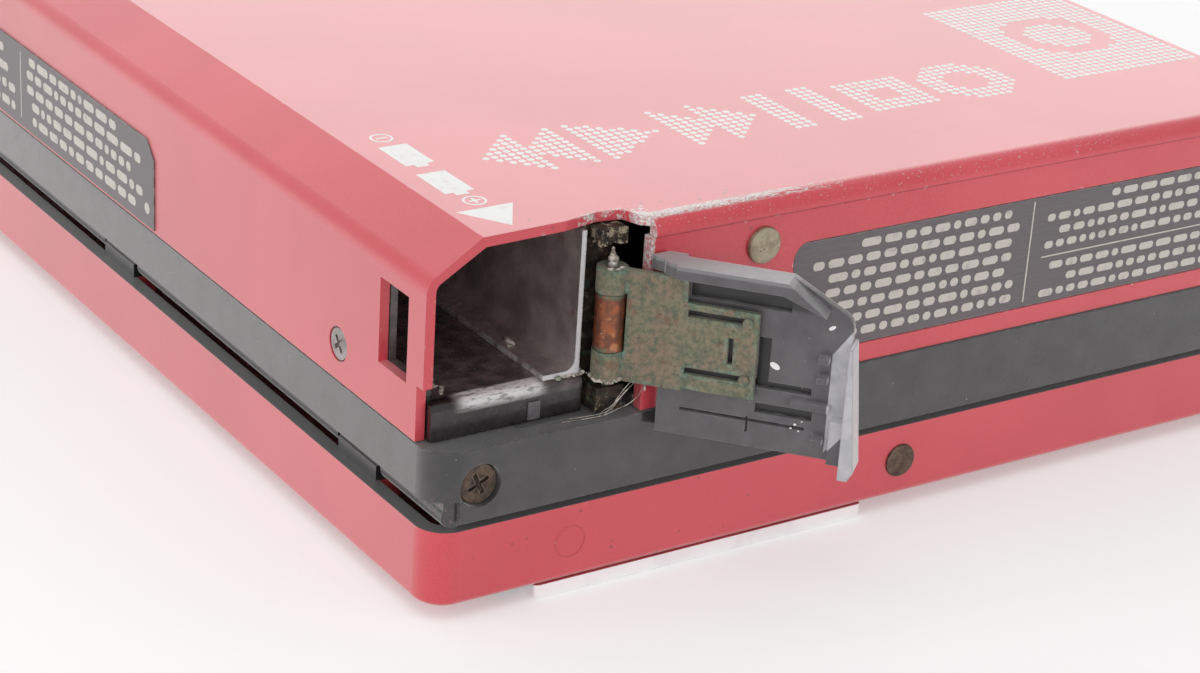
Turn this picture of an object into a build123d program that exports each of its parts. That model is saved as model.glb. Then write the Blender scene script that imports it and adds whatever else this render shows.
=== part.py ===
from build123d import *
import math
import os

# Portable cassette player, lying with its printed back up and its cassette lid down.
# Sizes are in millimetres. While it is built, x runs from the left long side, y from the end with
# the battery door and z from the surface that it rests on. Export moves the origin to the middle
# of the base.

# Whole case
WIDTH = 90.0
LENGTH = 114.0
HEIGHT = 29.6
SHEET = 0.8            # thickness of the red sheet
CORNER_R = 2.5         # vertical corners of the lid and the band
FIT = 0.1              # gap between pieces of the case that lie against each other

# Levels from the base up
FOOT = 1.15            # chrome plate and window frame stand this far out of the lid
LID_TOP = 7.5
BAND_BOTTOM = 8.0
BAND_SIDE_BOTTOM = 9.9  # higher along the left side, where the lid's hinge lies
BAND_TOP = 14.0
DECK_TOP = 15.0
PANEL_TOP = 28.1

# Bevel along both long edges of the shell
BEVEL_X = 4.8
BEVEL_DROP = 2.7
BEVEL_R = 1.6
CURL_R = 1.3           # front and back edges of the top roll down by this radius

# Battery door and its hinge, for two AAA cells end to end
HINGE_X, HINGE_Y = 15.7, 1.7
OPEN_ANGLE = 131.5
SLIDE_OUT = 2.6
DROP = 1.5             # the open door hangs this far down on its worn pin
BARREL_R = 1.2
PIN_R = 0.45
PIN_TOP = 26.3
DOOR_END_X = 14.4
DOOR_LOW, DOOR_HIGH = 14.25, 28.45
DOOR_SKIN, DOOR_PLATE = 0.75, 1.12        # depth of the skin and of the face inside it
DOOR_ROOF = 2.8                           # depth of the wall along the top
PANEL_LEFT = 18.0      # left end of the red end panel, beside the hinge
LEAF_LOW, LEAF_HIGH = 18.2, 27.25
ROLLER_LOW, ROLLER_HIGH = 20.6, 25.3
SLOT_LOW_Z, SLOT_HIGH_Z = 19.92, 24.55    # middles of the leaf's two slots
RIVET_X_OPEN = 5.1                        # the rivets stop here, at the slots' ends

# Battery tray
CELL_R = 5.25
TRAY_LEFT, TRAY_RIGHT = 1.5, 13.4
TRAY_FLOOR = 17.0
TRAY_FRONT = 2.15
LINER_FRONT = 2.5
TRAY_END = 97.0
TRAY_ROOF = 28.6

# Labels
END_LABEL = (31.4, 83.0, 15.7, 25.4)      # x and z limits
SIDE_LABEL = (47.4, 106.0, 14.4, 22.2)    # y and z limits
LABEL_DEPTH = 0.25
END_PIN_X, END_PIN_Z = (28.3, 86.2), 25.9
SIDE_SCREW_Y, SIDE_SCREW_Z = (14.8, LENGTH - 14.8), 17.1
SIDE_SLOT = (4.4, 8.6, 18.2, 25.0)        # y and z limits of the window beside the battery door

# Screws in the band, near its four corners
SCREW_Z = 10.9
SCREW_SPOTS = ((4.1, 0.0), (WIDTH - 4.1, 0.0), (4.1, LENGTH), (WIDTH - 4.1, LENGTH))

# Lid hinge and controls
ROD_X, ROD_Z, ROD_R = 2.1, 8.7, 0.6
KNUCKLE_R = 1.05
LID_WALL = 1.2
# Along the hinge, the band's fixed ears and the lid's knuckles between them
EAR_SPANS = ((0.4, 9.6), (16.4, 53.4), (60.2, LENGTH - 16.4), (LENGTH - 9.6, LENGTH - 0.4))
LID_KNUCKLES = ((10.0, 16.0), (53.8, 59.8), (LENGTH - 16.0, LENGTH - 10.0))
WINDOW = (51.0, 79.0, 24.0, 90.0)         # x and y limits of the opening in the lid
STUD_X, RIVET_X, STUD_Z = 44.1, 12.3, 4.35
KEY_NAMES = ("rewind_key", "forward_key", "play_key", "stop_key")
KEY_FIRST_Y, KEY_PITCH, KEY_LENGTH = 16.0, 14.0, 13.0
KEY_LOW, KEY_HIGH = 9.3, 12.7
KEY_PROUD = 1.4
KEY_TRAVEL = 2.0
RELEASE_Y = (84.0, 96.0)

# Tape drive, seen from above
REEL_X, REEL_SPACING = 43.0, 42.5
CAPSTAN_X, CAPSTAN_Y = 70.5, 87.0
MOTOR_X, MOTOR_Y, MOTOR_R = 74.0, 30.0, 10.5
FLYWHEEL_R, PULLEY_R, REEL_R, DRIVE_R = 10.0, 2.2, 10.0, 3.0
PINCH_X, PINCH_R = 78.2, 3.5
BELT_Z = 17.4
BOARD_LOW = 26.9       # underside of the circuit board

# Far end controls
JACK_X = (24.0, 36.0)
POWER_X = 50.0
JACK_Z = 21.0
VOLUME_X, VOLUME_Y, VOLUME_R = 68.0, 108.3, 7.0
TONE_X = 82.0

MIDDLE_Y = LENGTH / 2


def block(x0, x1, y0, y1, z0, z1):
    """A box between two limits on each axis."""
    centre = Pos((x0 + x1) / 2, (y0 + y1) / 2, (z0 + z1) / 2)
    return centre * Box(x1 - x0, y1 - y0, z1 - z0)


def rod_z(x, y, radius, z0, z1):
    return Pos(x, y, (z0 + z1) / 2) * Cylinder(radius, z1 - z0)


def rod_y(x, z, radius, y0, y1):
    return Pos(x, (y0 + y1) / 2, z) * Rot(90, 0, 0) * Cylinder(radius, y1 - y0)


def rod_x(y, z, radius, x0, x1):
    return Pos((x0 + x1) / 2, y, z) * Rot(0, 90, 0) * Cylinder(radius, x1 - x0)


def rounded_slab(inset, radius, z0, z1):
    """The case's outline from above, inset all round, between two levels."""
    sketch = RectangleRounded(WIDTH - 2 * inset, LENGTH - 2 * inset, radius)
    return Pos(WIDTH / 2, MIDDLE_Y, z0) * extrude(sketch, z1 - z0)


def joined(parts):
    """One shape from a list of shapes."""
    whole = parts[0]
    for piece in parts[1:]:
        whole = whole + piece
    return whole


def case_section(inset, y0, y1):
    """The shell's outline from the end, inset all round, swept from y0 to y1."""
    low = BAND_TOP + FIT
    drop = BEVEL_DROP * inset / BEVEL_X
    left, right, top = inset, WIDTH - inset, HEIGHT - inset
    points = [
        (left, low),
        (left, HEIGHT - BEVEL_DROP - inset + drop),
        (BEVEL_X + inset / 3, top),
        (WIDTH - BEVEL_X - inset / 3, top),
        (right, HEIGHT - BEVEL_DROP - inset + drop),
        (right, low),
    ]
    face = make_face(Polyline(*points, close=True))
    shoulders = face.vertices().sort_by(Axis.Y)[2:4]
    face = fillet(shoulders, max(BEVEL_R - inset, 0.5))
    solid = extrude(Plane.XZ * face, -(y1 - y0))
    return Pos(0, y0, 0) * solid


def plan_prism(points, z0, z1):
    """An upright prism over a plan outline."""
    face = make_face(Polyline(*points, close=True))
    return Pos(0, 0, z0) * extrude(face, z1 - z0)


def opened(part, slid=False, lifted=False):
    """Moves a door piece from its closed place to the open pose that the part rests in."""
    shift = Pos(-SLIDE_OUT if slid else 0, 0, 0)
    swing = Pos(HINGE_X, HINGE_Y, 0) * Rot(0, 0, OPEN_ANGLE) * Pos(-HINGE_X, -HINGE_Y, 0)
    return Pos(0, 0, 0 if lifted else -DROP) * swing * shift * part


def top_shell():
    """Red shell: top and sides in one sheet, open at both ends, with a notch for the battery door."""
    outer = case_section(0, 0, LENGTH)
    rims = outer.edges().filter_by_position(Axis.Z, HEIGHT - BEVEL_DROP / 2, HEIGHT)
    rims = [e for e in rims if e.bounding_box().size.Y < 0.01]
    outer = fillet(rims, CURL_R)
    shell = outer - case_section(SHEET, SHEET, LENGTH - SHEET)
    for y0 in (-1.0, LENGTH - SHEET - 0.4):
        shell -= block(SHEET, WIDTH - SHEET, y0, y0 + SHEET + 1.4, BAND_TOP - 1, PANEL_TOP + FIT)
    notch = [(-1, -1), (-1, 1.9), (0.9, 1.95), (BEVEL_X, 2.3), (12, 2.6), (15, 3.2), (17.0, 2.9),
             (17.6, 1.4), (PANEL_LEFT + 0.2, 0.9), (PANEL_LEFT + 0.2, -1)]
    shell -= plan_prism(notch, BAND_TOP - 1, HEIGHT + 1)
    shell -= block(-1, 1.0, -1, 2.85, BAND_TOP - 1, 18.6)
    shell -= block(-1, 1.2, *SIDE_SLOT)
    for y in SIDE_SCREW_Y:
        shell -= rod_x(y, SIDE_SCREW_Z, 0.9, -1, 1.5)
        shell -= rod_x(y, SIDE_SCREW_Z, 1.4, -1, 0.4)
    return shell


def end_panel():
    """Red panel in the end with the battery door, with the recess for its label."""
    panel = case_section(SHEET + FIT, 0.15, 1.15)
    panel -= block(-1, PANEL_LEFT, -1, 3, 0, 40)
    panel -= block(-1, WIDTH + 1, -1, 3, PANEL_TOP, 40)
    x0, x1, z0, z1 = END_LABEL
    pocket = block(x0, x1, -1, 0.15 + LABEL_DEPTH, z0, z1)
    pocket = fillet(pocket.edges().filter_by(Axis.Y), 1.4)
    panel -= pocket
    for x in END_PIN_X:
        panel -= rod_y(x, END_PIN_Z, 1.47, -1, 3)
    return panel


def panel_pins():
    """Domed pins that hold the end panel."""
    pins = []
    for x in END_PIN_X:
        body = rod_y(x, END_PIN_Z, 1.45, 0.0, 1.6)
        dome = Pos(x, 3.0, END_PIN_Z) * Sphere(3.45)
        dome &= rod_y(x, END_PIN_Z, 1.45, -0.6, 0.4)
        pins.append(body + dome)
    return Compound(children=pins)


def label_plate(x0, x1, z0, z1):
    plate = block(x0 + 0.08, x1 - 0.08, 0.2, 0.15 + LABEL_DEPTH, z0 + 0.08, z1 - 0.08)
    return fillet(plate.edges().filter_by(Axis.Y), 1.3)


def side_label():
    """Thin plate on the left face, its end nearer the door cut at a slant."""
    y0, y1, z0, z1 = SIDE_LABEL
    outline = [(y0, z0), (y0, z1 - 1.5), (y0 + 1.5, z1), (y1, z1), (y1, z0)]
    face = make_face(Polyline(*outline, close=True))
    return Pos(-0.15, 0, 0) * extrude(Plane.YZ * face, 0.15)


def far_panel():
    """Red panel in the far end, with the openings for the jacks and the two controls."""
    y0, y1 = LENGTH - 1.15, LENGTH - 0.15
    panel = case_section(SHEET + FIT, y0, y1)
    panel -= block(-1, WIDTH + 1, y0 - 1, y1 + 1, PANEL_TOP, 40)
    for x in JACK_X + (POWER_X,):
        panel -= rod_y(x, JACK_Z, 3.3, y0 - 1, y1 + 1)
    panel -= block(VOLUME_X - 6.6, VOLUME_X + 6.6, y0 - 1, y1 + 1, 18.4, 22.6)
    panel -= block(TONE_X - 4.0, TONE_X + 4.0, y0 - 1, y1 + 1, 19.0, 22.0)
    return panel


def mid_frame():
    """Glossy black band round the middle, with the fixed ears of the lid's hinge."""
    frame = rounded_slab(0, CORNER_R, BAND_BOTTOM, BAND_TOP)
    frame -= rounded_slab(1.6, 1.2, BAND_BOTTOM - 1, BAND_TOP + 1)
    for x0, x1 in ((1.4, 8.0), (WIDTH - 8.0, WIDTH - 1.4)):
        for y0, y1 in ((1.4, 5.4), (LENGTH - 5.4, LENGTH - 1.4)):
            frame += block(x0, x1, y0, y1, BAND_SIDE_BOTTOM, BAND_TOP)
    frame += block(8.0, PANEL_LEFT + 2, 1.4, 4.4, BAND_TOP - 1.2, BAND_TOP - 0.1)
    frame -= block(-1, 2.4, -1, LENGTH + 1, 0, BAND_SIDE_BOTTOM)
    frame -= block(-1, 4.0, 4, LENGTH - 4, 0, BAND_SIDE_BOTTOM)
    for y0, y1 in EAR_SPANS:
        ear = rod_y(ROD_X, ROD_Z, KNUCKLE_R, y0, y1)
        ear += block(1.2, 3.0, y0, y1, ROD_Z, BAND_SIDE_BOTTOM + 1.6)
        frame += ear
    frame -= rod_y(ROD_X, ROD_Z, ROD_R + 0.02, 4.6, LENGTH - 4.6)
    for x, y in SCREW_SPOTS:
        inward = 1 if y < MIDDLE_Y else -1
        frame -= rod_y(x, SCREW_Z, 1.75, *sorted((y, y + inward * 0.9)))
        frame -= rod_y(x, SCREW_Z, 0.8, *sorted((y, y + inward * 4.0)))
    for n in range(len(KEY_NAMES)):
        y0 = KEY_FIRST_Y + n * KEY_PITCH
        frame -= block(WIDTH - 3, WIDTH + 1, y0 - 0.2, y0 + KEY_LENGTH + 0.2, KEY_LOW - 0.2, KEY_HIGH + 0.2)
    frame -= block(WIDTH - 3, WIDTH + 1, RELEASE_Y[0] - 1.7, RELEASE_Y[1] + 1.7, KEY_LOW, KEY_HIGH)
    return frame


def cross_head(radius, depth, shank_r, shank):
    """A screw along +Z with its head's face at the origin, pointing up."""
    head = Pos(0, 0, -depth / 2) * Cylinder(radius, depth)
    head = fillet(head.edges().sort_by(Axis.Z)[-1], depth * 0.3)
    stem = Pos(0, 0, -depth - shank / 2) * Cylinder(shank_r, shank)
    arm = radius * 1.15
    cross = Box(arm, 0.34, 1.4 * depth) + Box(0.34, arm, 1.4 * depth)
    return head + stem - cross


def band_screws():
    screws = []
    for x, y in SCREW_SPOTS:
        front = y < MIDDLE_Y
        face_y = y + 0.35 if front else y - 0.35
        turn = Rot(90, 0, 0) if front else Rot(-90, 0, 0)
        screws.append(Pos(x, face_y, SCREW_Z) * turn * Rot(0, 0, 25) * cross_head(1.65, 0.5, 0.75, 2.6))
    return Compound(children=screws)


def side_screws():
    screws = []
    for y in SIDE_SCREW_Y:
        screw = cross_head(1.3, 0.3, 0.75, 0.5)
        screws.append(Pos(0.05, y, SIDE_SCREW_Z) * Rot(0, -90, 0) * Rot(0, 0, 38) * screw)
    return Compound(children=screws)


def chassis_plate():
    """Steel deck over the cassette, with holes for the shafts that reach the tape."""
    deck = block(1.0, WIDTH - 1.0, 1.3, LENGTH - 1.3, BAND_TOP + 0.02, DECK_TOP)
    deck -= block(0, PANEL_LEFT, 0, 4.5, 0, 40)
    for side in (-1, 1):
        deck -= rod_z(REEL_X, MIDDLE_Y + side * REEL_SPACING / 2, 1.55, 0, 20)
    deck -= rod_z(CAPSTAN_X, CAPSTAN_Y, 1.05, 0, 20)
    return deck


def battery_tray():
    """Black channel for the two cells: floor with a rounded front lip, apron, side and end walls."""
    x0, x1, y1 = TRAY_LEFT - 0.6, TRAY_RIGHT + 0.5, TRAY_END + 0.8
    under = TRAY_FLOOR - 0.8
    floor = block(x0, x1, TRAY_FRONT, y1, under, TRAY_FLOOR)
    apron = block(x0, PANEL_LEFT - 0.2, TRAY_FRONT, TRAY_FRONT + 0.8, BAND_TOP + 0.1, TRAY_FLOOR)
    left = block(x0, TRAY_LEFT, TRAY_FRONT + 1.2, y1, under, 26.0)
    end = block(x0, x1, TRAY_END, y1, under, TRAY_ROOF - 2.2)
    tray = floor + apron
    lip = tray.edges().filter_by(Axis.X).sort_by(Axis.Y)
    lip = [e for e in lip if abs(e.center().Z - TRAY_FLOOR) < 0.01 and e.center().Y < TRAY_FRONT + 0.1]
    tray = fillet(lip, 0.7)
    tray += left
    tray += end
    tray -= block(0, TRAY_LEFT + 0.1, *SIDE_SLOT)
    tray -= block(TRAY_RIGHT + 0.55, PANEL_LEFT, 0, 4.45, BAND_TOP, TRAY_FLOOR + 0.1)
    return tray


def tray_liner():
    """Thin blacked sheet: the tray's right wall and a short flange on the floor."""
    x1, y0, y1 = TRAY_RIGHT + 0.4, LINER_FRONT, TRAY_END - 0.2
    low = TRAY_FLOOR + 0.02
    wall = block(TRAY_RIGHT, x1, y0, y1, low, TRAY_ROOF)
    flange = block(10.6, x1, y0, y1, low, low + 0.4)
    liner = wall + flange
    heel = [e for e in liner.edges().filter_by(Axis.Y) if abs(e.center().X - TRAY_RIGHT) < 0.01]
    heel = [e for e in heel if abs(e.center().Z - TRAY_FLOOR - 0.42) < 0.01]
    return fillet(heel, 0.9)


def least_gap(path, wire_r, turns):
    """Smallest space between the turns of a wound wire, measured on points of its centre line."""
    per_turn = 40
    count = per_turn * turns
    points = [path @ (k / count) for k in range(count + 1)]
    pairs = [(a, b) for a in range(count + 1) for b in range(a + per_turn // 2, count + 1)]
    return min((points[a] - points[b]).length for a, b in pairs) - 2 * wire_r


def battery_spring():
    """Conical contact spring at the far end, as one unbroken wire."""
    wire_r, turns, length = 0.28, 4, 4.6
    centre_x, centre_z = (TRAY_LEFT + TRAY_RIGHT) / 2, TRAY_FLOOR + 0.4 + CELL_R
    pitch = length / turns
    helix = Helix(pitch, length, 3.4, cone_angle=14)
    start = helix @ 0
    tangent = helix % 0
    wire = sweep(Plane(start, z_dir=tangent) * Circle(wire_r), path=helix)
    print("battery spring, least gap between turns", round(least_gap(helix, wire_r, turns), 2))
    base = Pos(0, 0, -0.52) * (Cylinder(3.9, 0.4) - Cylinder(2.4, 0.5))
    spring = wire + base + Pos(3.4, 0, -0.2) * Cylinder(0.3, 0.5)
    return Pos(centre_x, TRAY_END - 0.75, centre_z) * Rot(90, 0, 0) * spring


def hinge_bracket():
    """Fixed leaf behind the barrel: a lower ear round the pin and a broken upper one."""
    plate = block(14.3, 17.1, 3.9, 4.3, 16.0, 28.65)
    lower = block(14.5, 16.9, 1.0, 4.3, 14.25, 16.2)
    heel = block(14.3, 17.1, 3.9, 4.3, 14.25, 16.2)
    upper = block(14.5, 16.9, HINGE_Y, 4.3, LEAF_HIGH + 0.15, 28.65)
    bracket = plate + lower + heel + upper
    return bracket - rod_z(HINGE_X, HINGE_Y, PIN_R + 0.05, 10, 30)


def hinge_pin():
    pin = rod_z(HINGE_X, HINGE_Y, PIN_R, 14.3, PIN_TOP)
    tip = pin.edges().sort_by(Axis.Z)[-1]
    return fillet(tip, 0.25)


def copper_roller():
    """Loose copper sleeve on the pin, between the leaf's two knuckles."""
    roller = rod_z(HINGE_X, HINGE_Y, BARREL_R - 0.05, ROLLER_LOW + 0.05, ROLLER_HIGH - 0.05)
    roller -= rod_z(HINGE_X, HINGE_Y, PIN_R + 0.04, 10, 30)
    return Pos(0, 0, -DROP) * roller


def contact_plate():
    """The door's hinge leaf, which is also the contact that bridges the cells."""
    y0, y1 = 1.45, 1.9
    plate = block(9.8, HINGE_X - 0.2, y0, y1, LEAF_LOW, LEAF_HIGH)
    plate += block(4.3, 10.0, y0, y1, LEAF_LOW + 0.2, SLOT_HIGH_Z + 0.8)
    for z in (SLOT_LOW_Z, SLOT_HIGH_Z):
        plate -= block(RIVET_X_OPEN - 0.3, 9.7, 0, 4, z - 0.27, z + 0.27)
    plate -= block(6.1, 6.5, 0, 4, 21.0, 23.1)
    plate -= block(HINGE_X - BARREL_R - 0.1, 20, 0, 4, ROLLER_LOW, ROLLER_HIGH)
    knuckles = rod_z(HINGE_X, HINGE_Y, BARREL_R, LEAF_LOW, ROLLER_LOW)
    knuckles += rod_z(HINGE_X, HINGE_Y, BARREL_R, ROLLER_HIGH, LEAF_HIGH)
    leaf = plate + knuckles
    leaf -= rod_z(HINGE_X, HINGE_Y, PIN_R + 0.04, 10, 30)
    return opened(leaf)


def door_profile(x_left, x_right, inset, y0, y1):
    """The door's outline, with the same bevel as the shell, between two depths."""
    top = DOOR_HIGH - inset
    points = [
        (x_left, DOOR_LOW + inset),
        (x_left, DOOR_HIGH - BEVEL_DROP - inset * 0.6),
        (BEVEL_X + inset * 0.3, top),
        (x_right, top),
        (x_right, DOOR_LOW + inset),
    ]
    face = make_face(Polyline(*points, close=True))
    shoulder = face.vertices().filter_by_position(Axis.X, x_left - 0.01, x_left + 0.01).sort_by(Axis.Y)[-1]
    face = fillet(shoulder, 1.2)
    solid = extrude(Plane.XZ * face, -(y1 - y0))
    return Pos(0, y0, 0) * solid


def door_face():
    """Skin of the door with the raised face inside it, which has slots and a recess for the plate's end."""
    face = door_profile(0.0, DOOR_END_X, 0, 0, DOOR_PLATE)
    rim = [e for e in face.edges() if e.center().Y < 0.01 and e.center().Z > DOOR_LOW + 1]
    face = fillet([e for e in rim if e.center().X < DOOR_END_X - 0.1], 0.6)
    slots = (
        (4.7, 12.4, 25.6, 27.45),     # under the roof
        (2.7, 7.2, 19.2, 19.8),
        (2.5, 6.9, 17.15, 17.95),
        (6.0, 7.0, 19.6, 23.3),
        (7.3, 7.5, 15.4, 16.7),
        (3.0, 12.6, 16.3, 16.55),
    )
    for x0, x1, z0, z1 in slots:
        face -= block(x0, x1, DOOR_SKIN, 3, z0, z1)
    return face


def door_roof():
    """Wall along the door's top and bevel, with an arm that reaches over the hinge's barrel."""
    roof = door_profile(1.2, 13.2, 0, DOOR_PLATE - 0.1, DOOR_ROOF)
    roof -= door_profile(-1.0, DOOR_END_X, 1.0, 0, 5)
    roof -= block(0, 15, 0, 5, 0, 24.6)
    arm = [
        (13.0, 0), (14.45, 0), (15.45, 1.15), (15.1, 1.45), (14.4, 1.65),
        (14.2, 2.0), (13.8, 2.3), (13.2, 2.42), (13.0, 2.6),
    ]
    return roof + plan_prism(arm, LEAF_HIGH + 0.15, DOOR_HIGH)


def door_grip():
    """Wedge outside the case's left face, for a fingernail, with the foot that carries it."""
    outline = [(-0.05, 24.0), (-0.3, 24.0), (-1.2, 14.2), (-0.8, 13.45), (-0.05, 13.45)]
    face = make_face(Polyline(*outline, close=True))
    wedge = Pos(0, 0.3, 0) * extrude(Plane.XZ * face, -2.3)
    foot = block(-0.1, 1.0, 0.3, 1.9, DOOR_LOW, 17.8)
    return wedge + foot + block(-0.1, 0.4, 0.3, 1.1, DOOR_LOW, 23.5)


def battery_door():
    """Cover with a roof along its top, ribs inside and a grip at its free end."""
    cover = door_face() + door_roof() + door_grip()
    for z in (15.6, 20.6, 22.2):
        cover += block(1.5, 2.3, DOOR_PLATE - 0.1, 1.9, z, z + 0.5)
    cover += block(1.2, 4.2, DOOR_PLATE - 0.1, 1.6, 18.2, 18.8)
    for z in (SLOT_LOW_Z, SLOT_HIGH_Z):
        cover -= rod_y(RIVET_X_OPEN + SLIDE_OUT, z, 0.33, 0.5, 5)
    return opened(cover, slid=True)


def door_rivets():
    """Rivets set in the cover, which run in the contact plate's two slots."""
    rivets = []
    for z in (SLOT_LOW_Z, SLOT_HIGH_Z):
        x = RIVET_X_OPEN + SLIDE_OUT
        stem = rod_y(x, z, 0.2, 0.55, 2.0)
        head = rod_y(x, z, 0.4, 1.95, 2.15)
        rivets.append(opened(stem + head, slid=True))
    return Compound(children=rivets)


def cassette_lid():
    """Lower red shell, with a window opening in its face and knuckles along its left side."""
    outer = rounded_slab(0, CORNER_R, FOOT, LID_TOP)
    base = outer.edges().group_by(Axis.Z)[0]
    outer = fillet(base, 0.6)
    lid = outer - rounded_slab(LID_WALL, 1.3, FOOT + LID_WALL, LID_TOP + 1)
    x0, x1, y0, y1 = WINDOW
    lid -= block(x0, x1, y0, y1, 0, 5)
    for y0, y1 in LID_KNUCKLES:
        knuckle = rod_y(ROD_X, ROD_Z, KNUCKLE_R, y0, y1)
        knuckle += block(LID_WALL - 0.3, ROD_X + 0.9, y0, y1, 5.0, ROD_Z)
        lid += knuckle
    lid -= rod_y(ROD_X, ROD_Z, ROD_R + 0.06, 0, LENGTH)
    lid += block(85.0, 86.8, 88.0, 92.0, FOOT + 1.0, 9.0)
    lid -= rod_y(STUD_X, STUD_Z, 1.42, -1, 2)
    lid -= rod_y(RIVET_X, STUD_Z, 1.32, -1, 2)
    return lid


def lid_stud():
    """Brown stud in the lid's end wall."""
    stud = rod_y(STUD_X, STUD_Z, 1.4, -0.25, 1.2)
    return fillet(stud.edges().sort_by(Axis.Y)[0], 0.15)


def painted_rivet():
    """Stud beside the corner that is painted over, so that only its ring shows."""
    return rod_y(RIVET_X, STUD_Z, 1.3, 0.02, 1.2)


def chrome_plate():
    """Polished plate on the lid's face, flush with the end."""
    plate = block(9.4, 40.6, 0.05, LENGTH - 0.05, 0, FOOT)
    return fillet(plate.edges().filter_by(Axis.Z), 0.4)


def trim_strip():
    return block(6.8, 9.3, 1.6, LENGTH - 1.6, 0.45, FOOT)


def window_frame():
    """Black raised frame round the cassette window; the part also rests on it."""
    frame = block(43.0, 84.0, 12.0, 102.0, 0, FOOT)
    frame = fillet(frame.edges().filter_by(Axis.Z), 3.0)
    x0, x1, y0, y1 = WINDOW
    return frame - block(x0 + 1.0, x1 - 1.0, y0 + 1.0, y1 - 1.0, -1, 5)


def cassette_window():
    x0, x1, y0, y1 = WINDOW
    return block(x0 + 0.1, x1 - 0.1, y0 + 0.1, y1 - 0.1, FOOT, FOOT + 1.0)


def pressure_springs():
    """Two bent leaves on the inside of the lid that press on the cassette."""
    leaves = []
    for y in (14.0, 94.0):
        floor = FOOT + LID_WALL
        leaf = block(26.0, 34.0, y, y + 5.0, floor, floor + 0.3)
        leaf += Pos(38.0, y + 2.5, floor + 0.6) * Rot(0, -10, 0) * Box(10.0, 5.0, 0.3)
        leaves.append(leaf - block(20, 50, y - 1, y + 7, 0, floor))
    return Compound(children=leaves)


def hinge_rod():
    return rod_y(ROD_X, ROD_Z, ROD_R, 4.8, LENGTH - 4.8)


def transport_key(n):
    """One key: a ribbed cap outside the band and a stem with stops inside."""
    y0 = KEY_FIRST_Y + n * KEY_PITCH
    y1 = y0 + KEY_LENGTH
    cap = block(WIDTH - 1.6, WIDTH + KEY_PROUD, y0, y1, KEY_LOW, KEY_HIGH)
    outer = [e for e in cap.edges() if e.center().X > WIDTH + KEY_PROUD - 0.01]
    cap = fillet(outer, 0.6)
    for k in range(-1, 2):
        middle = (y0 + y1) / 2 + k * 1.6
        cap -= block(WIDTH + KEY_PROUD - 0.3, WIDTH + 5, middle - 0.3, middle + 0.3, 0, 40)
    stops = block(WIDTH - 3.2, WIDTH - 1.75, y0 - 0.4, y1 + 0.4, KEY_LOW - 0.6, KEY_HIGH + 0.6)
    neck = block(WIDTH - 3.0, WIDTH - 1.4, y0 + 0.4, y1 - 0.4, KEY_LOW + 0.2, KEY_HIGH - 0.2)
    stem = block(WIDTH - 5.4, WIDTH - 3.0, y0 + 4, y1 - 4, KEY_LOW + 0.4, KEY_HIGH - 0.4)
    return cap + stops + neck + stem


def key_spring():
    """Comb of flat fingers behind the keys, drawn where a pressed key leaves it."""
    y0 = KEY_FIRST_Y
    y1 = KEY_FIRST_Y + len(KEY_NAMES) * KEY_PITCH
    comb = block(82.0, 82.3, y0, y1, 12.4, BAND_TOP)
    for n in range(len(KEY_NAMES)):
        middle = y0 + n * KEY_PITCH + KEY_LENGTH / 2
        comb += block(82.0, 82.3, middle - 1.6, middle + 1.6, 9.6, 12.6)
    return comb


def lid_release():
    """Slider in the band that frees the lid; it moves along the side."""
    y0, y1 = RELEASE_Y
    cap = block(WIDTH - 1.6, WIDTH + 0.9, y0, y1, KEY_LOW + 0.15, KEY_HIGH - 0.15)
    for k in range(5):
        y = y0 + 2.4 + 1.8 * k
        cap -= block(WIDTH + 0.5, WIDTH + 3, y - 0.35, y + 0.35, 0, 40)
    plate = block(WIDTH - 2.9, WIDTH - 1.7, y0 - 3.0, y1 + 3.0, KEY_LOW - 0.5, KEY_HIGH + 0.5)
    neck = block(WIDTH - 2.0, WIDTH - 1.4, y0 + 0.2, y1 - 0.2, KEY_LOW + 0.2, KEY_HIGH - 0.2)
    return cap + plate + neck


def motor():
    can = rod_z(MOTOR_X, MOTOR_Y, MOTOR_R, 19.6, 26.0)
    can = fillet(can.edges().sort_by(Axis.Z)[-1], 0.8)
    legs = []
    reach = 8.5
    for k in range(3):
        angle = math.radians(30 + 120 * k)
        x = MOTOR_X + reach * math.cos(angle)
        y = MOTOR_Y + reach * math.sin(angle)
        legs.append(rod_z(x, y, 1.0, DECK_TOP, 19.7))
    return joined([can] + legs) - rod_z(MOTOR_X, MOTOR_Y, 0.55, 15, 24)


def grooved_wheel(x, y, radius, z0, z1, z_belt):
    wheel = rod_z(x, y, radius + 0.5, z0, z1)
    ring = rod_z(x, y, radius + 2, z_belt - 0.6, z_belt + 0.6) - rod_z(x, y, radius, 10, 30)
    return wheel - ring


def motor_pulley():
    pulley = grooved_wheel(MOTOR_X, MOTOR_Y, PULLEY_R, 16.0, 19.0, BELT_Z)
    return pulley + rod_z(MOTOR_X, MOTOR_Y, 0.5, 18.9, 23.8)


def flywheel():
    """Flywheel, its drive hub above and the capstan that reaches down to the tape."""
    wheel = grooved_wheel(CAPSTAN_X, CAPSTAN_Y, FLYWHEEL_R - 0.5, 16.0, 18.8, BELT_Z)
    wheel += rod_z(CAPSTAN_X, CAPSTAN_Y, DRIVE_R, 18.7, 21.0)
    return wheel + rod_z(CAPSTAN_X, CAPSTAN_Y, 1.0, 5.0, 16.1)


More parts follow.
